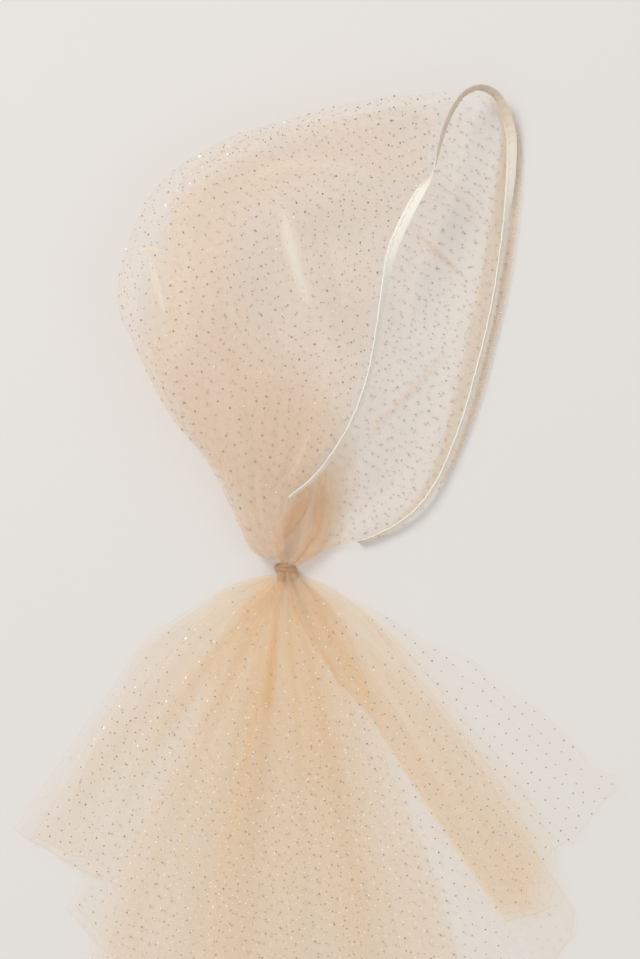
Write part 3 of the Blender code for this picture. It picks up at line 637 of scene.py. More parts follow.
def satin_material():
    """Cream satin elastic with fine ribs along it, tan where net covers it."""
    material = bpy.data.materials.new("satin_elastic_cream")
    nodes = Nodes(material)
    covered = nodes.attribute("covered")
    uv = nodes.add("ShaderNodeUVMap", uv_map="cloth").outputs[0]
    parts = nodes.add("ShaderNodeSeparateXYZ")
    nodes.link(uv, parts.inputs[0])
    rib = nodes.math("SINE", nodes.math("MULTIPLY", parts.outputs[1], 2.0 * math.pi / 0.0007))
    weave = nodes.math("SINE", nodes.math("MULTIPLY", parts.outputs[0], 2.0 * math.pi / 0.0009))
    height = nodes.math("ADD", nodes.math("MULTIPLY", rib, 0.6), nodes.math("MULTIPLY", weave, 0.25))
    patch = nodes.noise(uv, 300.0, 3.0)
    base = nodes.blend(patch, (0.92, 0.87, 0.75, 1.0), (0.97, 0.93, 0.83, 1.0))
    tint = nodes.blend(covered, base, (0.74, 0.61, 0.47, 1.0))
    ribbon = nodes.add("ShaderNodeBsdfPrincipled")
    nodes.link(tint, ribbon.inputs["Base Color"])
    ribbon.inputs["Roughness"].default_value = 0.38
    ribbon.inputs["Sheen Weight"].default_value = 0.3
    ribbon.inputs["Sheen Roughness"].default_value = 0.35
    ribs = nodes.add("ShaderNodeBump")
    ribs.inputs["Strength"].default_value = 0.35
    ribs.inputs["Distance"].default_value = 0.0002
    nodes.link(height, ribs.inputs["Height"])
    nodes.link(ribs.outputs[0], ribbon.inputs["Normal"])
    nodes.output(ribbon.outputs[0])
    return material


def glitter_material():
    """Small flakes of silver glitter, most of them grey-brown and a few bright: the bright ones are painted glints,
    and the paler greys on lower plies are painted light.
    """
    material = bpy.data.materials.new("glitter_dots")
    nodes = Nodes(material)
    tone_and_glint = nodes.attribute("tone_and_glint")
    flake = nodes.add("ShaderNodeBsdfPrincipled")
    nodes.link(nodes.blend(tone_and_glint, (0.19, 0.17, 0.15, 1.0), (0.98, 0.97, 0.94, 1.0)), flake.inputs["Base Color"])
    flake.inputs["Metallic"].default_value = 0.35
    flake.inputs["Roughness"].default_value = 0.35
    nodes.output(flake.outputs[0])
    return material


def thread_material():
    """Cream sewing thread with a fine twist."""
    material = bpy.data.materials.new("cream_thread")
    nodes = Nodes(material)
    place = nodes.add("ShaderNodeTexCoord").outputs["Object"]
    twist = nodes.noise(place, 2500.0, 2.0)
    yarn = nodes.add("ShaderNodeBsdfPrincipled")
    nodes.link(nodes.blend(twist, (0.78, 0.70, 0.58, 1.0), (0.92, 0.87, 0.78, 1.0)), yarn.inputs["Base Color"])
    yarn.inputs["Roughness"].default_value = 0.6
    nodes.output(yarn.outputs[0])
    return material


def floor_material():
    """Plain pale matte surface with a faint unevenness."""
    material = bpy.data.materials.new("pale_surface")
    nodes = Nodes(material)
    place = nodes.add("ShaderNodeTexCoord").outputs["Object"]
    mottle = nodes.noise(place, 3.0, 2.0)
    paper = nodes.add("ShaderNodeBsdfPrincipled")
    nodes.link(nodes.blend(mottle, FLOOR_COLOUR, FLOOR_COLOUR_LIGHT), paper.inputs["Base Color"])
    paper.inputs["Roughness"].default_value = 0.9
    paper.inputs["Specular IOR Level"].default_value = 0.1
    nodes.output(paper.outputs[0])
    return material


def new_object(name, data):
    obj = bpy.data.objects.new(name, data)
    bpy.context.scene.collection.objects.link(obj)
    return obj


def surface_tree(mesh):
    return BVHTree.FromPolygons([v.co for v in mesh.vertices], [p.vertices for p in mesh.polygons])


class ClothMesh:
    """Collects sheets of cloth as points, faces, cloth coordinates, and each point's cover and ochre depth."""

    def __init__(self):
        self.points = []
        self.faces = []
        self.cloth = []
        self.covers = []
        self.valley_tones_and_shades = []

    def add_grid(self, grid, cloth, covers, valley_tones_and_shades=None):
        """Adds a grid of points in millimetres, with cloth coordinates in millimetres and the values of each."""
        first = len(self.points)
        columns = len(grid[0])
        for i, row in enumerate(grid):
            for j, point in enumerate(row):
                self.points.append(world(point))
                self.cloth.append((cloth[i][j][0] * MM, cloth[i][j][1] * MM))
                self.covers.append(covers[i][j])
                self.valley_tones_and_shades.append(valley_tones_and_shades[i][j] if valley_tones_and_shades else 0.0)
        for i in range(len(grid) - 1):
            for j in range(columns - 1):
                a = first + i * columns + j
                self.faces.append((a, a + 1, a + columns + 1, a + columns))

    def make(self, name, material):
        mesh = bpy.data.meshes.new(name)
        mesh.from_pydata(self.points, [], self.faces)
        uv = mesh.uv_layers.new(name="cloth")
        for loop in mesh.loops:
            uv.data[loop.index].uv = self.cloth[loop.vertex_index]
        for value_name, values in (("cover", self.covers), ("valley_tone_and_shade", self.valley_tones_and_shades)):
            attribute = mesh.attributes.new(value_name, "FLOAT", "POINT")
            attribute.data.foreach_set("value", values)
        mesh.materials.append(material)
        mesh.shade_smooth()
        obj = new_object(name, mesh)
        return obj


def grid_slopes(grid):
    """The share of each point's normal that is upright, from 0 to 1."""
    rows = len(grid)
    columns = len(grid[0])
    slopes = []
    for i in range(rows):
        line = []
        for j in range(columns):
            along = Vector(grid[min(i + 1, rows - 1)][j]) - Vector(grid[max(i - 1, 0)][j])
            across = Vector(grid[i][min(j + 1, columns - 1)]) - Vector(grid[i][max(j - 1, 0)])
            normal = across.cross(along)
            line.append(abs(normal.z) / max(normal.length, 1e-9))
        slopes.append(line)
    return slopes


def slope_cover(upright):
    """Net that turns away from level hides more, up to a limit."""
    return min(1.0 / max(upright, 0.05), 2.6) ** 0.75


def border_shares(count, border):
    """Even shares from 0 to 1, with a narrow border at each end for the cut edge."""
    inner = [mix(border * 1.4, 1.0 - border * 1.4, k / count) for k in range(count + 1)]
    return [0.0, border] + inner + [1.0 - border, 1.0]


def edge_cover(share, fade, line=0.0):
    """The net thins out towards a ply's edge and ends in a narrow line where its cut threads pack together."""
    rim = min(share, 1.0 - share)
    if rim < line:
        return EDGE_LINE
    return mix(EDGE_COVER, 1.0, smooth_rise(0.0, fade, rim))


def place(obj, slot, *nodes):
    """Rides a piece on the one body and hides the nodes that it stands for; the slot is not used."""
    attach(obj, BODY)
    if nodes:
        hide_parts(*nodes)
    return obj


# Hood

def crease_depth(row_place, across):
    """How far the hood's upper side sinks into its gathers."""
    share = smooth_rise(CREASE_START_ROW, CREASE_FULL_ROW, row_place)
    share *= 1.0 - smooth_rise(CREASE_FULL_ROW, CREASE_END_ROW, row_place)
    return share * sum(c.depth * bump(across - c.across, c.half_width) for c in HOOD_CREASES)


def soft_crease_height(x, y, upper):
    """The height that the listed creases add at a place on the upper or under side."""
    total = 0.0
    for crease in SOFT_CREASES:
        if crease.upper != upper:
            continue
        run_x = crease.x1 - crease.x0
        run_y = crease.y1 - crease.y0
        length = math.hypot(run_x, run_y)
        along = ((x - crease.x0) * run_x + (y - crease.y0) * run_y) / (length * length)
        if not 0.0 < along < 1.0:
            continue
        off = abs((x - crease.x0) * run_y - (y - crease.y0) * run_x) / length
        width = crease.half_width * (0.7 + 0.6 * math.sin(math.pi * along))
        total += crease.height * bump(off, width) * math.sin(math.pi * along) ** 0.6
    return total


def hood_point(row, row_place, across):
    """A point of the hood's outer face: across is -1 at the near edge, 0 at the fold and 1 at the far edge."""
    side = abs(across)
    if side < FOLD_ROUND:
        angle = 0.5 * math.pi * side / FOLD_ROUND
        reach = FOLD_ROUND_REACH * (1.0 - math.cos(angle))
        climb = math.sin(angle)
        run = 0.0
    else:
        run = (side - FOLD_ROUND) / (1.0 - FOLD_ROUND)
        reach = mix(FOLD_ROUND_REACH, 1.0, run)
        climb = 1.0
    if across < 0.0:
        x = mix(row.fold_x, row.near_x, reach)
        y = mix(row.fold_y, row.near_y, reach)
        z = mix(row.fold_z, row.puff, climb) - (row.puff - row.near_z) * run * run
        z -= crease_depth(row_place, side)
        z += soft_crease_height(x, y, True) * climb
    else:
        x = mix(row.fold_x, row.far_x, reach)
        y = mix(row.fold_y, row.far_y, reach)
        z = mix(row.fold_z, max(row.base, 0.0), climb)
        z += max(soft_crease_height(x, y, False), 0.0) * climb
    return x, y, z + PLY_LIFT


def ply_row(row, ply, row_place):
    """A ply's own section, pulled in at its fold and edges and lowered on its upper side."""
    fold = Vector((row.fold_x, row.fold_y))
    near = Vector((row.near_x, row.near_y))
    far = Vector((row.far_x, row.far_y))
    to_near = (near - fold).normalized()
    to_far = (far - fold).normalized()
    (inset,) = from_table(INNER_FOLD_INSETS, row_place) if ply.fold_inset else (0.0,)
    fold = fold + (to_near + to_far).normalized() * min(inset, 0.35 * (near - fold).length)
    near = near - to_near * min(ply.near_inset, 0.2 * (near - fold).length)
    far = far - to_far * min(ply.far_inset, 0.2 * (far - fold).length)
    lift = 0.45 * ply.drop
    return row._replace(
        near_x=near.x, near_y=near.y, near_z=row.near_z - ply.drop,
        fold_x=fold.x, fold_y=fold.y, fold_z=row.fold_z,
        far_x=far.x, far_y=far.y, base=max(row.base, 0.0) + lift, puff=row.puff - ply.drop,
    )


def gather_cover(row_place, across):
    """How much denser the net is where the hood is gathered into its neck."""
    (ratio,) = from_table(UPPER_GATHERS if across < 0.0 else UNDER_GATHERS, row_place)
    return ratio


def streak(angle, distance, seed):
    """Fine gathers that fan out from the knot as denser and lighter rays."""
    wave = noise.noise(Vector((angle * 5.5, seed, distance * 0.004)))
    wave += 0.45 * noise.noise(Vector((angle * 14.0, seed + 5.0, distance * 0.006)))
    return 1.0 + 0.75 * wave * math.exp(-max(distance - 40.0, 0.0) / 95.0)


def hood_cover(x, y, row_place, across, upright, seed):
    distance = math.hypot(x, y)
    rays = streak(math.atan2(x, y), distance, seed)
    return gather_cover(row_place, across) * slope_cover(upright) * max(rays, 0.25)


def add_hood_ply(cloth_mesh, ply, seed):
    """One whole ply of the hood, from the near edge over its fold to the far edge."""
    grid = []
    cloth = []
    rows = []
    shares = border_shares(2 * ply.columns, 0.0035)
    along = 0.0
    last_middle = None
    for i in range(ply.rows + 1):
        row_place = mix(ply.first, min(ply.last, LAST_HOOD_ROW), i / ply.rows)
        row = between_rows(HOOD_SECTIONS, row_place)
        section = ply_row(row, ply, row_place) if ply.drop else row
        line = [hood_point(section, row_place, 2.0 * share - 1.0) for share in shares]
        middle = Vector(line[len(line) // 4])
        along += 0.0 if last_middle is None else (middle - last_middle).length
        last_middle = middle
        grid.append(line)
        cloth.append([(share * 380.0, along) for share in shares])
        rows.append(row_place)
    slopes = grid_slopes(grid)
    values = []
    for i, line in enumerate(grid):
        value_line = []
        for j, point in enumerate(line):
            across = 2.0 * shares[j] - 1.0
            value = hood_cover(point[0], point[1], rows[i], across, slopes[i][j], seed)
            value_line.append(ply.cover * value * edge_cover(shares[j], 0.012))
        values.append(value_line)
    cloth_mesh.add_grid(grid, cloth, values)


def patch_range(patch, row_place):
    table = [(r.row, r.start, r.end) for r in patch.rows]
    return from_table(table, row_place)


def add_hood_patch(cloth_mesh, patch, seed):
    """A folded-over stretch of the hood's net that lies just inside the outer ply."""
    first = patch.rows[0].row
    last = patch.rows[-1].row
    count = max(int((last - first) * 14), 10)
    columns = 34
    shares = border_shares(columns, 0.012)
    grid = []
    cloth = []
    rows = []
    sign = -1.0 if patch.upper else 1.0
    for i in range(count + 1):
        row_place = mix(first, last, i / count)
        row = between_rows(HOOD_SECTIONS, row_place)
        start, end = patch_range(patch, row_place)
        line = []
        for share in shares:
            x, y, z = hood_point(row, row_place, sign * mix(start, end, share))
            line.append((x, y, z + sign * patch.inset))
        grid.append(line)
        cloth.append([(share * 90.0, row_place * 30.0) for share in shares])
        rows.append(row_place)
    slopes = grid_slopes(grid)
    values = []
    for i, line in enumerate(grid):
        fade = min(1.0, 6.0 * i / count + 0.35, 6.0 * (count - i) / count + 0.6)
        value_line = []
        for j, point in enumerate(line):
            value = hood_cover(point[0], point[1], rows[i], sign, slopes[i][j], seed)
            value_line.append(fade * patch.cover * value * edge_cover(shares[j], patch.soft))
        values.append(value_line)
    cloth_mesh.add_grid(grid, cloth, values)


def add_hem_band(cloth_mesh, level):
    """One ply of the turned hem that lies inside the far edge."""
    count = 110
    columns = 10
    shares = border_shares(columns, 0.06)
    grid = []
    cloth = []
    values = []
    for i in range(count + 1):
        row_place = mix(BAND_FIRST_ROW, BAND_LAST_ROW, i / count)
        row = between_rows(HOOD_SECTIONS, row_place)
        far = Vector((row.far_x, row.far_y))
        fold = Vector((row.fold_x, row.fold_y))
        length = (fold - far).length
        (width,) = from_table(BAND_WIDTHS, row_place)
        width *= 1.0 + 0.05 * noise.noise(Vector((row_place * 1.7, level, 0.0)))
        line = []
        for share in shares:
            inset = BAND_EDGE_INSET + width * share
            reach = 1.0 - inset / length
            side = FOLD_ROUND + (1.0 - FOLD_ROUND) * (reach - FOLD_ROUND_REACH) / (1.0 - FOLD_ROUND_REACH)
            x, y, z = hood_point(row, row_place, side)
            line.append((x, y, z + 1.1 + 0.5 * level))
        grid.append(line)
        cloth.append([(share * width, row_place * 27.0) for share in shares])
        values.append([BAND_COVER * edge_cover(share, 0.12) for share in shares])
    cloth_mesh.add_grid(grid, cloth, values)


def add_fringe(cloth_mesh):
    """The raw edge outside the elastic, ragged where its threads are cut."""
    grid = []
    cloth = []
    covers = []
    valley_tones_and_shades = []
    for i in range(FRINGE_STEPS + 1):
        share = i / FRINGE_STEPS
        row_place = mix(FRINGE_FIRST_ROW, FRINGE_LAST_ROW, share)
        row = between_rows(HOOD_SECTIONS, row_place)
        length = math.dist((row.fold_x, row.fold_y), (row.far_x, row.far_y))
        ragged = 0.75 + 0.25 * math.sin(i * 2.4) + 0.5 * noise.noise(Vector((i * 0.37, 2.0, 0.0)))
        reach_out = FRINGE_WIDTH * max(ragged, 0.1) * math.sin(math.pi * share) ** 0.3
        line = []
        for inset, drop in ((1.6, 0.2), (0.2, 0.6), (-0.5 * reach_out, 1.2), (-reach_out, 2.0)):
            side = FOLD_ROUND + (1.0 - FOLD_ROUND) * (1.0 - inset / length - FOLD_ROUND_REACH) / (1.0 - FOLD_ROUND_REACH)
            x, y, z = hood_point(row, row_place, side)
            line.append((x, y, z + 4.0 - drop))
        grid.append(line)
        cloth.append([(k * 0.8, row_place * 27.0) for k in range(4)])
        covers.append([0.6, FRINGE_COVER, FRINGE_COVER, 0.5 * FRINGE_COVER])
        valley_tones_and_shades.append([0.35] * 4)
    cloth_mesh.add_grid(grid, cloth, covers, valley_tones_and_shades)


def make_hood(tulle, hem_tulle):
    outer = ClothMesh()
    add_hood_ply(outer, OUTER_PLY, 1.0)
    outer_obj = place(outer.make("hood_outer_cloth", tulle), "hood_tulle", "hood_shell")
    inner = ClothMesh()
    add_hood_ply(inner, INNER_PLY, 21.0)
    inner_obj = place(inner.make("hood_inner_cloth", tulle), "hood_tulle", "hood_inner_layer")
    folds = ClothMesh()
    for k, patch in enumerate(HOOD_PATCHES):
        add_hood_patch(folds, patch, 40.0 + 7.0 * k)
    folds_obj = place(folds.make("hood_folded_plies", tulle), "hood_tulle")
    band = ClothMesh()
    for level in range(BAND_PLIES):
        add_hem_band(band, level)
    add_fringe(band)
    band_obj = place(band.make("hood_turned_hem", hem_tulle), "hem_tulle", "hood_hem_band")
    return outer_obj, inner_obj, folds_obj, band_obj


def add_strip(cloth_mesh, strip, tree):
    """A narrow fold of net laid along a line in plan, just above the cloth that lies under it."""
    grid = []
    cloth = []
    values = []
    valley_tones_and_shades = []
    last = len(strip.spots) - 1
    for i in range(STRIP_ROWS + 1):
        share = i / STRIP_ROWS
        spot = between_rows(strip.spots, last * share)
        ahead = between_rows(strip.spots, min(last * share + 0.05, last))
        behind = between_rows(strip.spots, max(last * share - 0.05, 0.0))
        run = Vector((ahead.x - behind.x, ahead.y - behind.y)).normalized()
        line = []
        for j in range(STRIP_COLUMNS + 1):
            side = 2.0 * j / STRIP_COLUMNS - 1.0
            x = spot.x + run.y * side * spot.half_width
            y = spot.y - run.x * side * spot.half_width
            height = spot.lift
            hit, _, _, _ = tree.ray_cast(world((x, y, 90.0)), Vector((0.0, 0.0, -1.0)))
            height += (hit.z - DATUM.z) / MM if hit else 6.0
            line.append((x, y, height + STRIP_LIFT + 0.5 * (1.0 - side * side)))
        grid.append(line)
        cloth.append([(j * 1.5, share * 40.0) for j in range(STRIP_COLUMNS + 1)])
        fade = smooth_rise(0.0, 0.3, share) * (1.0 - smooth_rise(0.7, 1.0, share))
        value_line = []
        for j in range(STRIP_COLUMNS + 1):
            value_line.append(strip.cover * fade * bump(2.0 * j / STRIP_COLUMNS - 1.0, 1.04) ** 1.3)
        values.append(value_line)
        valley_tones_and_shades.append([strip.ochre] * (STRIP_COLUMNS + 1))
    cloth_mesh.add_grid(grid, cloth, values, valley_tones_and_shades)


def make_strips(highlight_tulle, tulle, outer):
    """Painted highlights, whitish sheets along creases where light would catch them, and tucks of the lower ply
    that show in the opening.
    """
    mesh = outer.data
    tree = surface_tree(mesh)
    light = ClothMesh()
    for strip in PAINTED_HIGHLIGHT_STRIPS:
        add_strip(light, strip, tree)
    tucks = ClothMesh()
    for strip in OPENING_STRIPS:
        add_strip(tucks, strip, tree)
    highlight_obj = place(light.make("painted_highlight_creases", highlight_tulle), "hood_tulle")
    tucks_obj = place(tucks.make("opening_tucks", tulle), "hood_tulle")
    return highlight_obj, tucks_obj


# Elastic edging

def make_elastic(satin):
    """A flat ribbon swept along the face opening, with rounded edges and a half twist near the top."""
    count = ELASTIC_RINGS
    last = len(ELASTIC_LINE) - 1
    spots = [between_rows(ELASTIC_LINE, last * i / count) for i in range(count + 1)]
    half_width = 0.5 * ELASTIC_WIDTH
    half_thick = 0.5 * ELASTIC_THICKNESS
    outline = []
    for side in (1.0, -1.0):
        for k in range(7):
            angle = math.pi * (k / 6.0 - 0.5)
            across = side * (half_width - half_thick + half_thick * math.cos(angle))
            outline.append((across, side * half_thick * math.sin(angle)))
    points = []
    cloth = []
    covered = []
    faces = []
    travelled = 0.0
    ring_size = len(outline)
    for i, spot in enumerate(spots):
        before = spots[max(i - 1, 0)]
        after = spots[min(i + 1, count)]
        run = Vector((after.x - before.x, after.y - before.y, after.z - before.z)).normalized()
        level = Vector((run.y, -run.x, 0.0)).normalized()
        rise = level.cross(run).normalized()
        tilt = math.radians(spot.tilt_deg)
        wide = level * math.cos(tilt) + rise * math.sin(tilt)
        thick = wide.cross(run).normalized()
        middle = Vector((spot.x, spot.y, spot.z))
        if i:
            travelled += (middle - Vector((spots[i - 1].x, spots[i - 1].y, spots[i - 1].z))).length
        ripple = 0.1 * math.sin(travelled * 1.15) + 0.08 * math.sin(travelled * 0.47 + 1.0)
        for across, deep in outline:
            points.append(world(middle + wide * across + thick * (deep + ripple)))
            cloth.append((travelled * MM, across * MM))
            covered.append(min(max(spot.covered, 0.0), 1.0))
    for i in range(count):
        for k in range(ring_size):
            m = (k + 1) % ring_size
            a = i * ring_size
            faces.append((a + k, a + m, a + ring_size + m, a + ring_size + k))
    faces.append(tuple(reversed(range(ring_size))))
    faces.append(tuple(count * ring_size + k for k in range(ring_size)))
    mesh = bpy.data.meshes.new("elastic_ribbon")
    mesh.from_pydata(points, [], faces)
    uv = mesh.uv_layers.new(name="cloth")
    for loop in mesh.loops:
        uv.data[loop.index].uv = cloth[loop.vertex_index]
    attribute = mesh.attributes.new("covered", "FLOAT", "POINT")
    attribute.data.foreach_set("value", covered)
    mesh.materials.append(satin)
    mesh.shade_smooth()
    obj = new_object("elastic_ribbon", mesh)
    return place(obj, "satin_elastic", "elastic_edging")


def make_stitches(thread):
    """A zigzag row of small stitches that holds the elastic, along one side of the ribbon."""
    last = len(ELASTIC_LINE) - 1
    count = 250
    curve = bpy.data.curves.new("elastic_stitches", "CURVE")
    curve.dimensions = "3D"
    curve.bevel_depth = 0.00011
    curve.bevel_resolution = 1
    spline = curve.splines.new("POLY")
    spline.points.add(count)
    for i in range(count + 1):
        spot = between_rows(ELASTIC_LINE, last * i / count)
        after = between_rows(ELASTIC_LINE, min(last * i / count + 0.02, last))
        before = between_rows(ELASTIC_LINE, max(last * i / count - 0.02, 0.0))
        run = Vector((after.x - before.x, after.y - before.y, after.z - before.z)).normalized()
        level = Vector((run.y, -run.x, 0.0)).normalized()
        rise = level.cross(run).normalized()
        tilt = math.radians(spot.tilt_deg)
        wide = level * math.cos(tilt) + rise * math.sin(tilt)
        thick = wide.cross(run).normalized()
        if thick.z < 0.0:
            thick = -thick
        sway = -1.0 if i % 2 else -2.2
        point = Vector((spot.x, spot.y, spot.z)) + wide * sway + thick * (0.5 * ELASTIC_THICKNESS + 0.12)
        spline.points[i].co = (*world(point), 1.0)
    curve.materials.append(thread)
    obj = new_object("elastic_stitches", curve)
    return place(obj, "satin_elastic")


# Neck and knot

def make_neck(tulle):
    """The heap of folds in the neck: long rounded folds side by side, some deep, with a warm tan that is partly the
    gathered net's own colour and partly painted shade.
    """
    return place(folded_cloth(NECK_FOLDS).make("neck_folds", tulle), "gathered_tulle", "nape_gather")


def make_flare(tulle):
    """Folds that come out of the knot and spread over the tail."""
    return place(folded_cloth(FLARE_FOLDS).make("flare_folds", tulle), "tail_tulle")


def folded_cloth(folds):
    """Long rounded folds, each swept along its own line."""
    neck = ClothMesh()
    for number, fold in enumerate(folds):
        grid = []
        cloth = []
        covers = []
        valley_tones_and_shades = []
        last = len(fold.spots) - 1
        for i in range(NECK_ROWS + 1):
            share = i / NECK_ROWS
            spot = between_rows(fold.spots, last * share)
            ahead = between_rows(fold.spots, min(last * share + 0.05, last))
            behind = between_rows(fold.spots, max(last * share - 0.05, 0.0))
            run = Vector((ahead.x - behind.x, ahead.y - behind.y)).normalized()
            across = Vector((run.y, -run.x))
            line = []
            cover_line = []
            for j in range(NECK_COLUMNS + 1):
                side = 2.0 * j / NECK_COLUMNS - 1.0
                wobble = 0.5 * noise.noise(Vector((share * 3.0, number * 4.0, side)))
                x = spot.x + across.x * (side * spot.half_width + wobble)
                y = spot.y + across.y * (side * spot.half_width + wobble)
                line.append((x, y, spot.z + fold.height * (1.0 - side * side)))
                rays = 1.0 + 0.3 * noise.noise(Vector((side * 2.4, number * 3.0, share * 1.5)))
                fade = smooth_rise(1.0, 0.55, share) if share > 0.55 else 1.0
                cover_line.append(max(NECK_COVER * fold.cover * fade * rays * (1.1 - 0.8 * side * side), 0.02))
            grid.append(line)
            cloth.append([(j * 2.5, spot.y) for j in range(NECK_COLUMNS + 1)])
            covers.append(cover_line)
            # Each fold's ochre, fading upwards, is partly the net's own colour and partly painted shade between
            # folds.
            valley_tones_and_shades.append([fold.ochre * (1.0 - 0.35 * share)] * (NECK_COLUMNS + 1))
        neck.add_grid(grid, cloth, covers, valley_tones_and_shades)
    return neck


def make_knot(gathered):
    """Three turns of a twisted strip round the neck, with pleats along each turn."""
    knot = ClothMesh()
    for number, wrap in enumerate(KNOT_WRAPS):
        grid = []
        cloth = []
        covers = []
        values = []
        for i in range(WRAP_SIDES + 1):
            around = 2.0 * math.pi * i / WRAP_SIDES
            reach_x = KNOT_HALF_WIDTH - 0.6 + wrap.swell
            reach_z = KNOT_HALF_HEIGHT - 0.6 + wrap.swell
            line = []
            cloth_line = []
            value_line = []
            cover_line = []
            narrow = 1.0 - 0.18 * math.cos(around * 2.0 + number)
            for j in range(WRAP_RING + 1):
                turn = 2.0 * math.pi * j / WRAP_RING
                pleat = 0.5 + 0.5 * math.cos(WRAP_PLEATS * turn + 2.0 * around)
                thick = wrap.thickness * (0.75 + 0.5 * pleat)
                out = thick * math.cos(turn)
                side = 0.5 * wrap.width * narrow * math.sin(turn)
                x = (reach_x + out) * math.cos(around)
                z = KNOT_MIDDLE_Z + (reach_z + out) * math.sin(around)
                y = wrap.y + side + wrap.tilt * x + 0.25 * math.sin(2.0 * around + number)
                line.append((x, y, max(z, 0.5)))
                cloth_line.append((j * 0.5, i * 0.5))
                cover_line.append(1.0)
                # Pleat troughs get a higher valley value: painted shade in the hollows of the pleats, painted light
                # on their ridges.
                value_line.append(0.5 - 0.36 * pleat)
            grid.append(line)
            cloth.append(cloth_line)
            covers.append(cover_line)
            values.append(value_line)
        knot.add_grid(grid, cloth, covers, values)
    return place(knot.make("knot_wraps", gathered), "knot_tulle", "nape_knot")


# Tail

def fold_height(angle, radius):
    """The shared fan folds of the tail, which all its layers follow."""
    hem_angle = angle / (1.0 + FAN_SPREAD * math.exp(-radius / FAN_FADE))
    height = sum(f.height * bump(hem_angle - f.angle, f.half_width) for f in TAIL_FOLDS)
    height *= smooth_rise(FOLD_START_RADIUS, FOLD_FULL_RADIUS, radius)
    lift = WING_LIFT * smooth_rise(*WING_LIFT_ANGLES, angle) * smooth_rise(*WING_LIFT_RADII, radius)
    return height + lift


def fine_fold(angle, radius, seed):
    """Small pleats between the large folds, different in each ply."""
    wave = noise.noise(Vector((angle / FINE_FOLD_DEGREES, seed, radius * 0.012)))
    return FINE_FOLD_HEIGHT * (wave + 0.5) * smooth_rise(20.0, 120.0, radius)


def start_radius(degrees):
    """How close to the knot's middle the net goes in a direction."""
    angle = math.radians(degrees)
    return min(KNOT_CLEAR_X / max(abs(math.sin(angle)), 0.01), KNOT_CLEAR_Y / max(math.cos(angle), 0.01))


def level_height(level, radius):
    return level * mix(TAIL_PITCH, KNOT_PITCH, math.exp(-max(radius - 8.0, 0.0) / PITCH_FADE))


def tail_place(panel, ply, across, radius, seed):
    """A point of a tail ply at a share across it and a distance from the knot, with its direction."""
    left, right = from_table(panel.edges, radius)
    taper = smooth_rise(10.0, 90.0, radius)
    degrees = mix(left + ply.left * taper, right - ply.right * taper, across)
    degrees += 0.5 * noise.noise(Vector((across * 9.0, radius * 0.01, seed))) * taper
    angle = math.radians(degrees)
    height = level_height(panel.level, radius) + ply.height + fold_height(degrees, radius)
    height += max(fine_fold(degrees, radius, seed), 0.0) + PLY_LIFT
    return (radius * math.sin(angle), -radius * math.cos(angle), height), degrees


def tail_cover(degrees, radius, span_degrees, width_mm, upright, seed, node):
    """Net is denser near the knot, where its whole width is gathered, and along its rays."""
    arc = math.radians(span_degrees) * radius
    gathered = min(max(width_mm / (arc + 34.0), 0.9), 3.0) ** 0.42
    wave = noise.noise(Vector((degrees * 0.13, seed, radius * 0.004)))
    wave += 0.5 * noise.noise(Vector((degrees * 0.36, seed + 9.0, radius * 0.006)))
    rays = 1.0 + wave * (0.65 + 0.75 * math.exp(-radius / 80.0))
    heaped = 1.0 + KNOT_HEAPS[node] * math.exp(-radius / KNOT_HEAP_FADE)
    if node == "tail_under_layer":
        heaped += CORNER_COVER * smooth_rise(30.0, 35.0, degrees) * smooth_rise(180.0, 240.0, radius)
    return gathered * heaped * max(rays, 0.3) * slope_cover(upright)


def hem_radius(panel, ply, across, seed):
    (hem,) = from_table(panel.hem, across)
    ragged = 1.1 * noise.noise(Vector((across * 22.0, seed, 3.0)))
    ragged += 0.35 * noise.noise(Vector((across * 120.0, seed, 8.0)))
    return hem - ply.hem + ragged


def ply_width(panel, ply):
    """The ply's width at its hem."""
    last = panel.edges[-1]
    return math.radians((last.right - ply.right) - (last.left + ply.left)) * last.radius


def add_tail_ply(cloth_mesh, panel, ply, seed):
    near_edge = panel.edges[0]
    width = ply_width(panel, ply)
    span = math.degrees(width / panel.edges[-1].radius)
    columns = max(int(span / DEGREES_PER_COLUMN), 24)
    border = 0.7 / width
    shares = border_shares(columns, border)
    along = border_shares(TAIL_ROWS, 0.0035)[2:]
    grid = []
    cloth = []
    details = []
    for share_along in along:
        line = []
        cloth_line = []
        detail_line = []
        for across in shares:
            start = start_radius(mix(near_edge.left, near_edge.right, across))
            hem = hem_radius(panel, ply, across, seed)
            radius = mix(start, hem, share_along ** 1.2)
            point, degrees = tail_place(panel, ply, across, radius, seed)
            line.append(point)
            cloth_line.append((across * width * 1.15, radius))
            detail_line.append((degrees, radius))
        grid.append(line)
        cloth.append(cloth_line)
        details.append(detail_line)
    slopes = grid_slopes(grid)
    values = []
    for i, line in enumerate(grid):
        value_line = []
        hem_edge = HEM_LINE if along[i] >= 0.9964 else 1.0
        for j in range(len(line)):
            degrees, radius = details[i][j]
            left, right = from_table(panel.edges, radius)
            value = tail_cover(degrees, radius, right - left, width, slopes[i][j], seed, panel.node)
            edge = edge_cover(shares[j], PLY_EDGE_FADE / width, 1.2 * border)
            edge = max(edge, hem_edge) if hem_edge > 1.0 else edge
            value_line.append(ply.cover * value * edge)
        values.append(value_line)
    cloth_mesh.add_grid(grid, cloth, values)


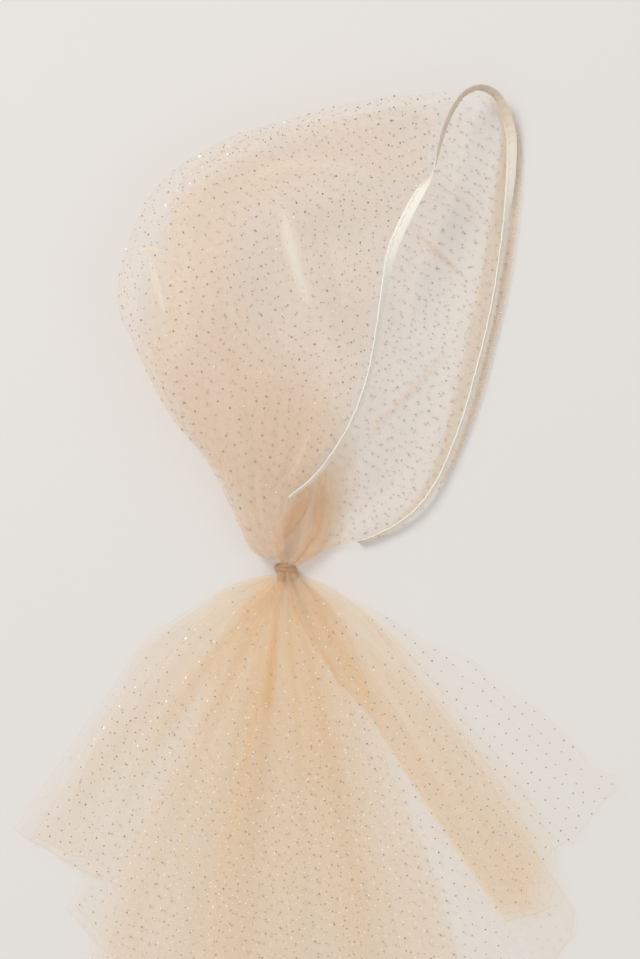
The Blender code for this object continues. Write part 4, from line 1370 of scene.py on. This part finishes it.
def add_tuck(cloth_mesh, tuck, seed):
    """A narrow stretch of net that is folded over and lies along the tail."""
    grid = []
    cloth = []
    values = []
    valley_tones_and_shades = []
    for i in range(TUCK_ROWS + 1):
        share = i / TUCK_ROWS
        radius = mix(tuck.start, tuck.end, share)
        middle = mix(tuck.angle_start, tuck.angle_end, share ** 0.7)
        middle += 0.7 * noise.noise(Vector((radius * 0.02, seed, 0.0)))
        line = []
        for j in range(TUCK_COLUMNS + 1):
            offset = tuck.half_width * (2.0 * j / TUCK_COLUMNS - 1.0) * (0.6 + 0.4 * math.sin(math.pi * share))
            degrees = middle + offset
            angle = math.radians(degrees)
            height = level_height(tuck.level, radius) + fold_height(degrees, radius) + 1.1 + PLY_LIFT
            line.append((radius * math.sin(angle), -radius * math.cos(angle), height))
        grid.append(line)
        cloth.append([(j * 2.0, radius) for j in range(TUCK_COLUMNS + 1)])
        fade = smooth_rise(0.0, 0.18, share) * (1.0 - smooth_rise(0.8, 1.0, share))
        value_line = []
        for j in range(TUCK_COLUMNS + 1):
            soft = bump(2.0 * j / TUCK_COLUMNS - 1.0, 1.25)
            value_line.append(max(TUCK_COVER * tuck.cover * fade * soft, LEAST_COVER))
        values.append(value_line)
        valley_tones_and_shades.append([tuck.ochre * fade] * (TUCK_COLUMNS + 1))
    cloth_mesh.add_grid(grid, cloth, values, valley_tones_and_shades)


def make_tail(tulle):
    pieces = []
    for number, panel in enumerate(TAIL_PANELS):
        cloth_mesh = ClothMesh()
        for k, ply in enumerate(panel.plies):
            add_tail_ply(cloth_mesh, panel, ply, 3.0 + 11.0 * number + 2.3 * k)
        pieces.append(place(cloth_mesh.make(panel.name, tulle), "tail_tulle", panel.node))
    tucks = ClothMesh()
    for k, tuck in enumerate(TAIL_TUCKS):
        add_tuck(tucks, tuck, 50.0 + 3.0 * k)
    tucks_obj = place(tucks.make("tail_tucks", tulle), "tail_tulle")
    return pieces, tucks_obj


# Glitter dots

class Dots:
    """Collects small six-sided flakes, each with its own tilt and brightness, which holds painted light and painted
    glints.
    """

    def __init__(self, seed, paleness=0.0):
        self.random = random.Random(seed)
        self.paleness = paleness
        self.points = []
        self.faces = []
        self.tones_and_glints = []

    def add(self, place_m, normal):
        draw = self.random
        tilt = Vector((draw.uniform(-1, 1), draw.uniform(-1, 1), draw.uniform(-1, 1))) * DOT_TILT
        normal = (normal.normalized() + tilt).normalized()
        side = normal.orthogonal().normalized()
        other = normal.cross(side)
        radius = DOT_RADIUS * MM * draw.uniform(0.75, 1.12)
        turn = draw.uniform(0.0, math.pi)
        first = len(self.points)
        for k in range(DOT_SIDES):
            angle = turn + 2.0 * math.pi * k / DOT_SIDES
            self.points.append(place_m + side * radius * math.cos(angle) + other * radius * math.sin(angle))
        # Each dot takes the painted paleness of where it lies plus a little random lightness; one in twenty is
        # near-white instead, a painted glint.
        luck = draw.random()
        tone_and_glint = self.paleness + draw.uniform(0.0, 0.25) if luck < 0.95 else draw.uniform(0.75, 1.0)
        self.tones_and_glints.extend([tone_and_glint] * DOT_SIDES)
        self.faces.append(tuple(range(first, first + DOT_SIDES)))

    def make(self, name, material, slot):
        mesh = bpy.data.meshes.new(name)
        mesh.from_pydata(self.points, [], self.faces)
        attribute = mesh.attributes.new("tone_and_glint", "FLOAT", "POINT")
        attribute.data.foreach_set("value", self.tones_and_glints)
        mesh.materials.append(material)
        obj = new_object(name, mesh)
        return place(obj, slot)


def add_tail_dots(dots, panel, ply, turn, seed):
    """Staggered rows of dots over a tail ply, turned at their own angle and thinned out towards the knot."""
    draw = dots.random
    reach = max(hem.radius for hem in panel.hem)
    steps_x = int(reach / DOT_PITCH_ACROSS) + 2
    steps_y = int(reach / DOT_PITCH_ALONG) + 2
    spin = Matrix.Rotation(math.radians(turn), 3, "Z")
    for j in range(-steps_y, steps_y + 1):
        for i in range(-steps_x, steps_x + 1):
            bend = 2.0 * math.sin(j * 0.13 + i * 0.09 + seed)
            spot = Vector(((i + 0.5 * (j % 2)) * DOT_PITCH_ACROSS + bend, j * DOT_PITCH_ALONG - bend, 0.0))
            spot.x += draw.uniform(-DOT_JITTER, DOT_JITTER)
            spot.y += draw.uniform(-DOT_JITTER, DOT_JITTER)
            spot = spin @ spot
            luck = draw.random()
            radius = math.hypot(spot.x, spot.y)
            if radius < DOT_NEAREST_KNOT or radius > reach or luck > 0.3 + 0.7 * smooth_rise(30.0, 150.0, radius):
                continue
            degrees = math.degrees(math.atan2(spot.x, -spot.y))
            left, right = from_table(panel.edges, radius)
            across = (degrees - left - ply.left) / ((right - ply.right) - (left + ply.left))
            if not 0.006 < across < 0.994 or radius > hem_radius(panel, ply, across, seed) - 0.9:
                continue
            point, _ = tail_place(panel, ply, across, radius, seed)
            ahead, _ = tail_place(panel, ply, across, radius + 1.0, seed)
            beside, _ = tail_place(panel, ply, min(across + 0.004, 1.0), radius, seed)
            normal = (Vector(ahead) - Vector(point)).cross(Vector(beside) - Vector(point))
            if normal.length < 1e-6:
                continue
            normal = normal.normalized() * (1.0 if normal.z > 0.0 else -1.0) + Vector((0.0, 0.0, DOT_LEVELLING))
            dots.add(world(point) + normal.normalized() * DOT_LIFT * MM, normal)


def add_hood_dots(dots, obj, roof, turn, from_above, paleness):
    """Staggered rows of dots laid on one side of a hood ply, painted paler where the roof tree's cloth covers them
    and low in the opening, to offset the shade they lie in.
    """
    mesh = obj.data
    tree = surface_tree(mesh)
    draw = dots.random
    low = world((-110.0, 0.0, 0.0))
    high = world((150.0, 300.0, 0.0))
    middle = 0.5 * (low + high)
    reach = 210.0 * MM
    step_x = DOT_PITCH_ACROSS * MM
    step_y = DOT_PITCH_ALONG * MM
    spin = Matrix.Rotation(math.radians(turn), 3, "Z")
    down = Vector((0.0, 0.0, -1.0 if from_above else 1.0))
    height = 0.2 if from_above else -0.05
    for j in range(-int(reach / step_y), int(reach / step_y) + 1):
        for i in range(-int(reach / step_x), int(reach / step_x) + 1):
            bend = 2.5 * MM * math.sin(j * 0.11 + i * 0.07)
            spot = Vector(((i + 0.5 * (j % 2)) * step_x + bend, j * step_y - bend, 0.0))
            spot.x += draw.uniform(-DOT_JITTER, DOT_JITTER) * MM
            spot.y += draw.uniform(-DOT_JITTER, DOT_JITTER) * MM
            spot = spin @ spot + middle
            hit, normal, _, _ = tree.ray_cast(Vector((spot.x, spot.y, height)), down)
            if hit is None:
                continue
            top, _, _, _ = roof.ray_cast(Vector((spot.x, spot.y, 0.2)), Vector((0.0, 0.0, -1.0)))
            covered = top is not None and top.z > hit.z + COVERED_DEPTH
            if covered:
                dots.paleness = LOWER_PALENESS
            else:
                dots.paleness = paleness if hit.z > UPPER_SIDE_Z else max(paleness, OPEN_PALENESS)
            normal = (normal if normal.z > 0.0 else -normal) + Vector((0.0, 0.0, HOOD_DOT_LEVELLING))
            dots.add(hit + normal.normalized() * DOT_LIFT * MM * (1.0 if from_above else 0.6), normal)


def add_fold_dots(dots, ply, seed):
    """Dots on the rounded fold of a hood ply, where its cloth stands nearly upright."""
    draw = dots.random
    travelled = 0.0
    last_fold = None
    number = 0
    steps = 400
    for i in range(steps + 1):
        row_place = mix(ply.first + 0.4, 11.0, i / steps)
        row = between_rows(HOOD_SECTIONS, row_place)
        row = ply_row(row, ply, row_place) if ply.drop else row
        fold = Vector((row.fold_x, row.fold_y))
        travelled += 0.0 if last_fold is None else (fold - last_fold).length
        last_fold = fold
        if travelled < number * DOT_PITCH_ALONG:
            continue
        number += 1
        for k in range(4):
            across = -0.12 + 0.08 * k + 0.04 * (number % 2) + draw.uniform(-0.008, 0.008)
            point = Vector(hood_point(row, row_place, across))
            beside = Vector(hood_point(row, row_place, across + 0.01))
            row_after = between_rows(HOOD_SECTIONS, row_place + 0.05)
            row_after = ply_row(row_after, ply, row_place) if ply.drop else row_after
            ahead = Vector(hood_point(row_after, row_place + 0.05, across))
            normal = (beside - point).cross(ahead - point)
            if normal.length < 1e-6:
                continue
            dots.add(world(point), normal)


def make_dots(glitter, hood_pieces):
    outer, inner, _, band = hood_pieces
    hood = Dots(RANDOM_SEED)
    mesh = outer.data
    roof = surface_tree(mesh)
    # Dots on the inner ply, the hem band, the under side and the fold are painted paler, to offset the shade they
    # lie in.
    add_hood_dots(hood, outer, roof, 21.0, True, 0.0)
    add_hood_dots(hood, inner, roof, -34.0, True, 0.4 * LOWER_PALENESS)
    add_hood_dots(hood, band, roof, 71.0, True, LOWER_PALENESS)
    add_hood_dots(hood, outer, roof, -17.0, False, LOWER_PALENESS)
    hood.paleness = FOLD_PALENESS
    add_fold_dots(hood, OUTER_PLY, 5.0)
    add_fold_dots(hood, INNER_PLY, 6.0)
    hood.make("hood_glitter_dots", glitter, "hood_tulle")
    for number, panel in enumerate(TAIL_PANELS):
        tail = Dots(RANDOM_SEED + 10 + number)
        for k, ply in enumerate(panel.plies):
            below = len(panel.plies) - 1 - k
            if below > 1:
                continue
            # Dots of lower plies and of the middle panel are painted paler, to offset the shade they lie in.
            tail.paleness = TOP_PALENESS + LAYER_PALENESS * below
            if panel.node == "tail_centre_lower":
                tail.paleness += MIDDLE_PALENESS
            add_tail_dots(tail, panel, ply, 17.0 * number + 41.0 * k, 3.0 + 11.0 * number + 2.3 * k)
        tail.make(panel.node + "_dots", glitter, "tail_tulle")


# Stage

FLOOR_COLOUR = (0.80, 0.775, 0.755, 1.0)
FLOOR_COLOUR_LIGHT = (0.815, 0.79, 0.77, 1.0)
FLOOR_REACH = 1.6
KEY_POWER = 42.0
FILL_POWER = 5.0
WORLD_STRENGTH = 0.66


def make_floor():
    mesh = bpy.data.meshes.new("floor")
    mesh.from_pydata([(-FLOOR_REACH, -FLOOR_REACH, 0), (FLOOR_REACH, -FLOOR_REACH, 0), (FLOOR_REACH, FLOOR_REACH, 0), (-FLOOR_REACH, FLOOR_REACH, 0)], [], [(0, 1, 2, 3)])
    mesh.materials.append(floor_material())
    floor = new_object("floor", mesh)


def add_area_light(name, location, target, size, power, colour):
    light = bpy.data.lights.new(name, "AREA")
    light.shape = "DISK"
    light.size = size
    light.energy = power
    light.color = colour
    obj = bpy.data.objects.new(name, light)
    obj.location = location
    obj.rotation_euler = (Vector(target) - Vector(location)).to_track_quat("-Z", "Y").to_euler()
    bpy.context.scene.collection.objects.link(obj)


def make_lights():
    add_area_light("key", (-1.6, 1.6, 2.6), (0.0, 0.0, 0.0), 1.3, KEY_POWER, (1.0, 0.985, 0.96))
    add_area_light("fill", (2.0, -0.6, 2.2), (0.0, 0.0, 0.0), 1.6, FILL_POWER, (0.97, 0.98, 1.0))
    world_settings = bpy.data.worlds.new("studio")
    world_settings.use_nodes = True
    background = world_settings.node_tree.nodes["Background"]
    background.inputs["Color"].default_value = (1.0, 0.995, 0.985, 1.0)
    background.inputs["Strength"].default_value = WORLD_STRENGTH
    bpy.context.scene.world = world_settings


def make_camera():
    """Straight above the photograph's middle, at the distance where its frame covers its size on the surface."""
    middle_x = (0.5 * PHOTO_WIDTH_PX - KNOT_PX[0]) * MM_PER_PX
    middle_y = (KNOT_PX[1] - 0.5 * PHOTO_HEIGHT_PX) * MM_PER_PX
    frame_height = PHOTO_HEIGHT_PX * MM_PER_PX * MM
    camera = bpy.data.cameras.new("camera")
    camera.sensor_fit = "VERTICAL"
    camera.sensor_height = SENSOR_MM
    camera.lens = LENS_MM
    camera.clip_start = 0.05
    obj = bpy.data.objects.new("camera", camera)
    obj.location = world((middle_x, middle_y, 0.0)) + Vector((0.0, 0.0, frame_height * LENS_MM / SENSOR_MM))
    bpy.context.scene.collection.objects.link(obj)
    bpy.context.scene.camera = obj


def make_settings():
    scene = bpy.context.scene
    scene.view_settings.view_transform = "Standard"
    scene.view_settings.look = "None"
    scene.view_settings.exposure = 0.0
    scene.view_settings.gamma = 1.0
    scene.cycles.transparent_max_bounces = 28
    scene.cycles.max_bounces = 3
    scene.cycles.diffuse_bounces = 2
    scene.cycles.glossy_bounces = 2
    scene.cycles.transmission_bounces = 6


def main():
    make_camera()
    make_settings()
    tulle = tulle_material("dotted_tulle", PLY_ALPHA, TULLE_COLOUR, TULLE_DEEP_COLOUR)
    hem_tulle = tulle_material("doubled_hem_tulle", 1.4 * PLY_ALPHA, TULLE_COLOUR, TULLE_DEEP_COLOUR)
    # The knot's colours: the light one on its ridges, the dark one painted shade in its pleat hollows and streaks.
    knotted = gathered_material("knotted_tulle_cloth", (0.59, 0.355, 0.175, 1.0), (0.28, 0.135, 0.05, 1.0))
    tail_tulle = tulle_material("tail_dotted_tulle", TAIL_ALPHA, TAIL_COLOUR, TULLE_DEEP_COLOUR,
                                TAIL_TINT_GAIN, TAIL_SCATTER, thread_tint=TAIL_TINT)
    highlight_tulle = tulle_material("painted_highlight_tulle", PAINTED_HIGHLIGHT_ALPHA, PAINTED_HIGHLIGHT_COLOUR, TULLE_COLOUR, net_contrast=0.06)
    hood_pieces = make_hood(tulle, hem_tulle)
    strips = make_strips(highlight_tulle, tulle, hood_pieces[0])
    make_elastic(satin_material())
    make_stitches(thread_material())
    neck = make_neck(tulle)
    make_knot(knotted)
    flare = make_flare(tulle)
    tail_pieces, tucks = make_tail(tail_tulle)
    make_dots(glitter_material(), hood_pieces)
    make_floor()
    make_lights()


main()
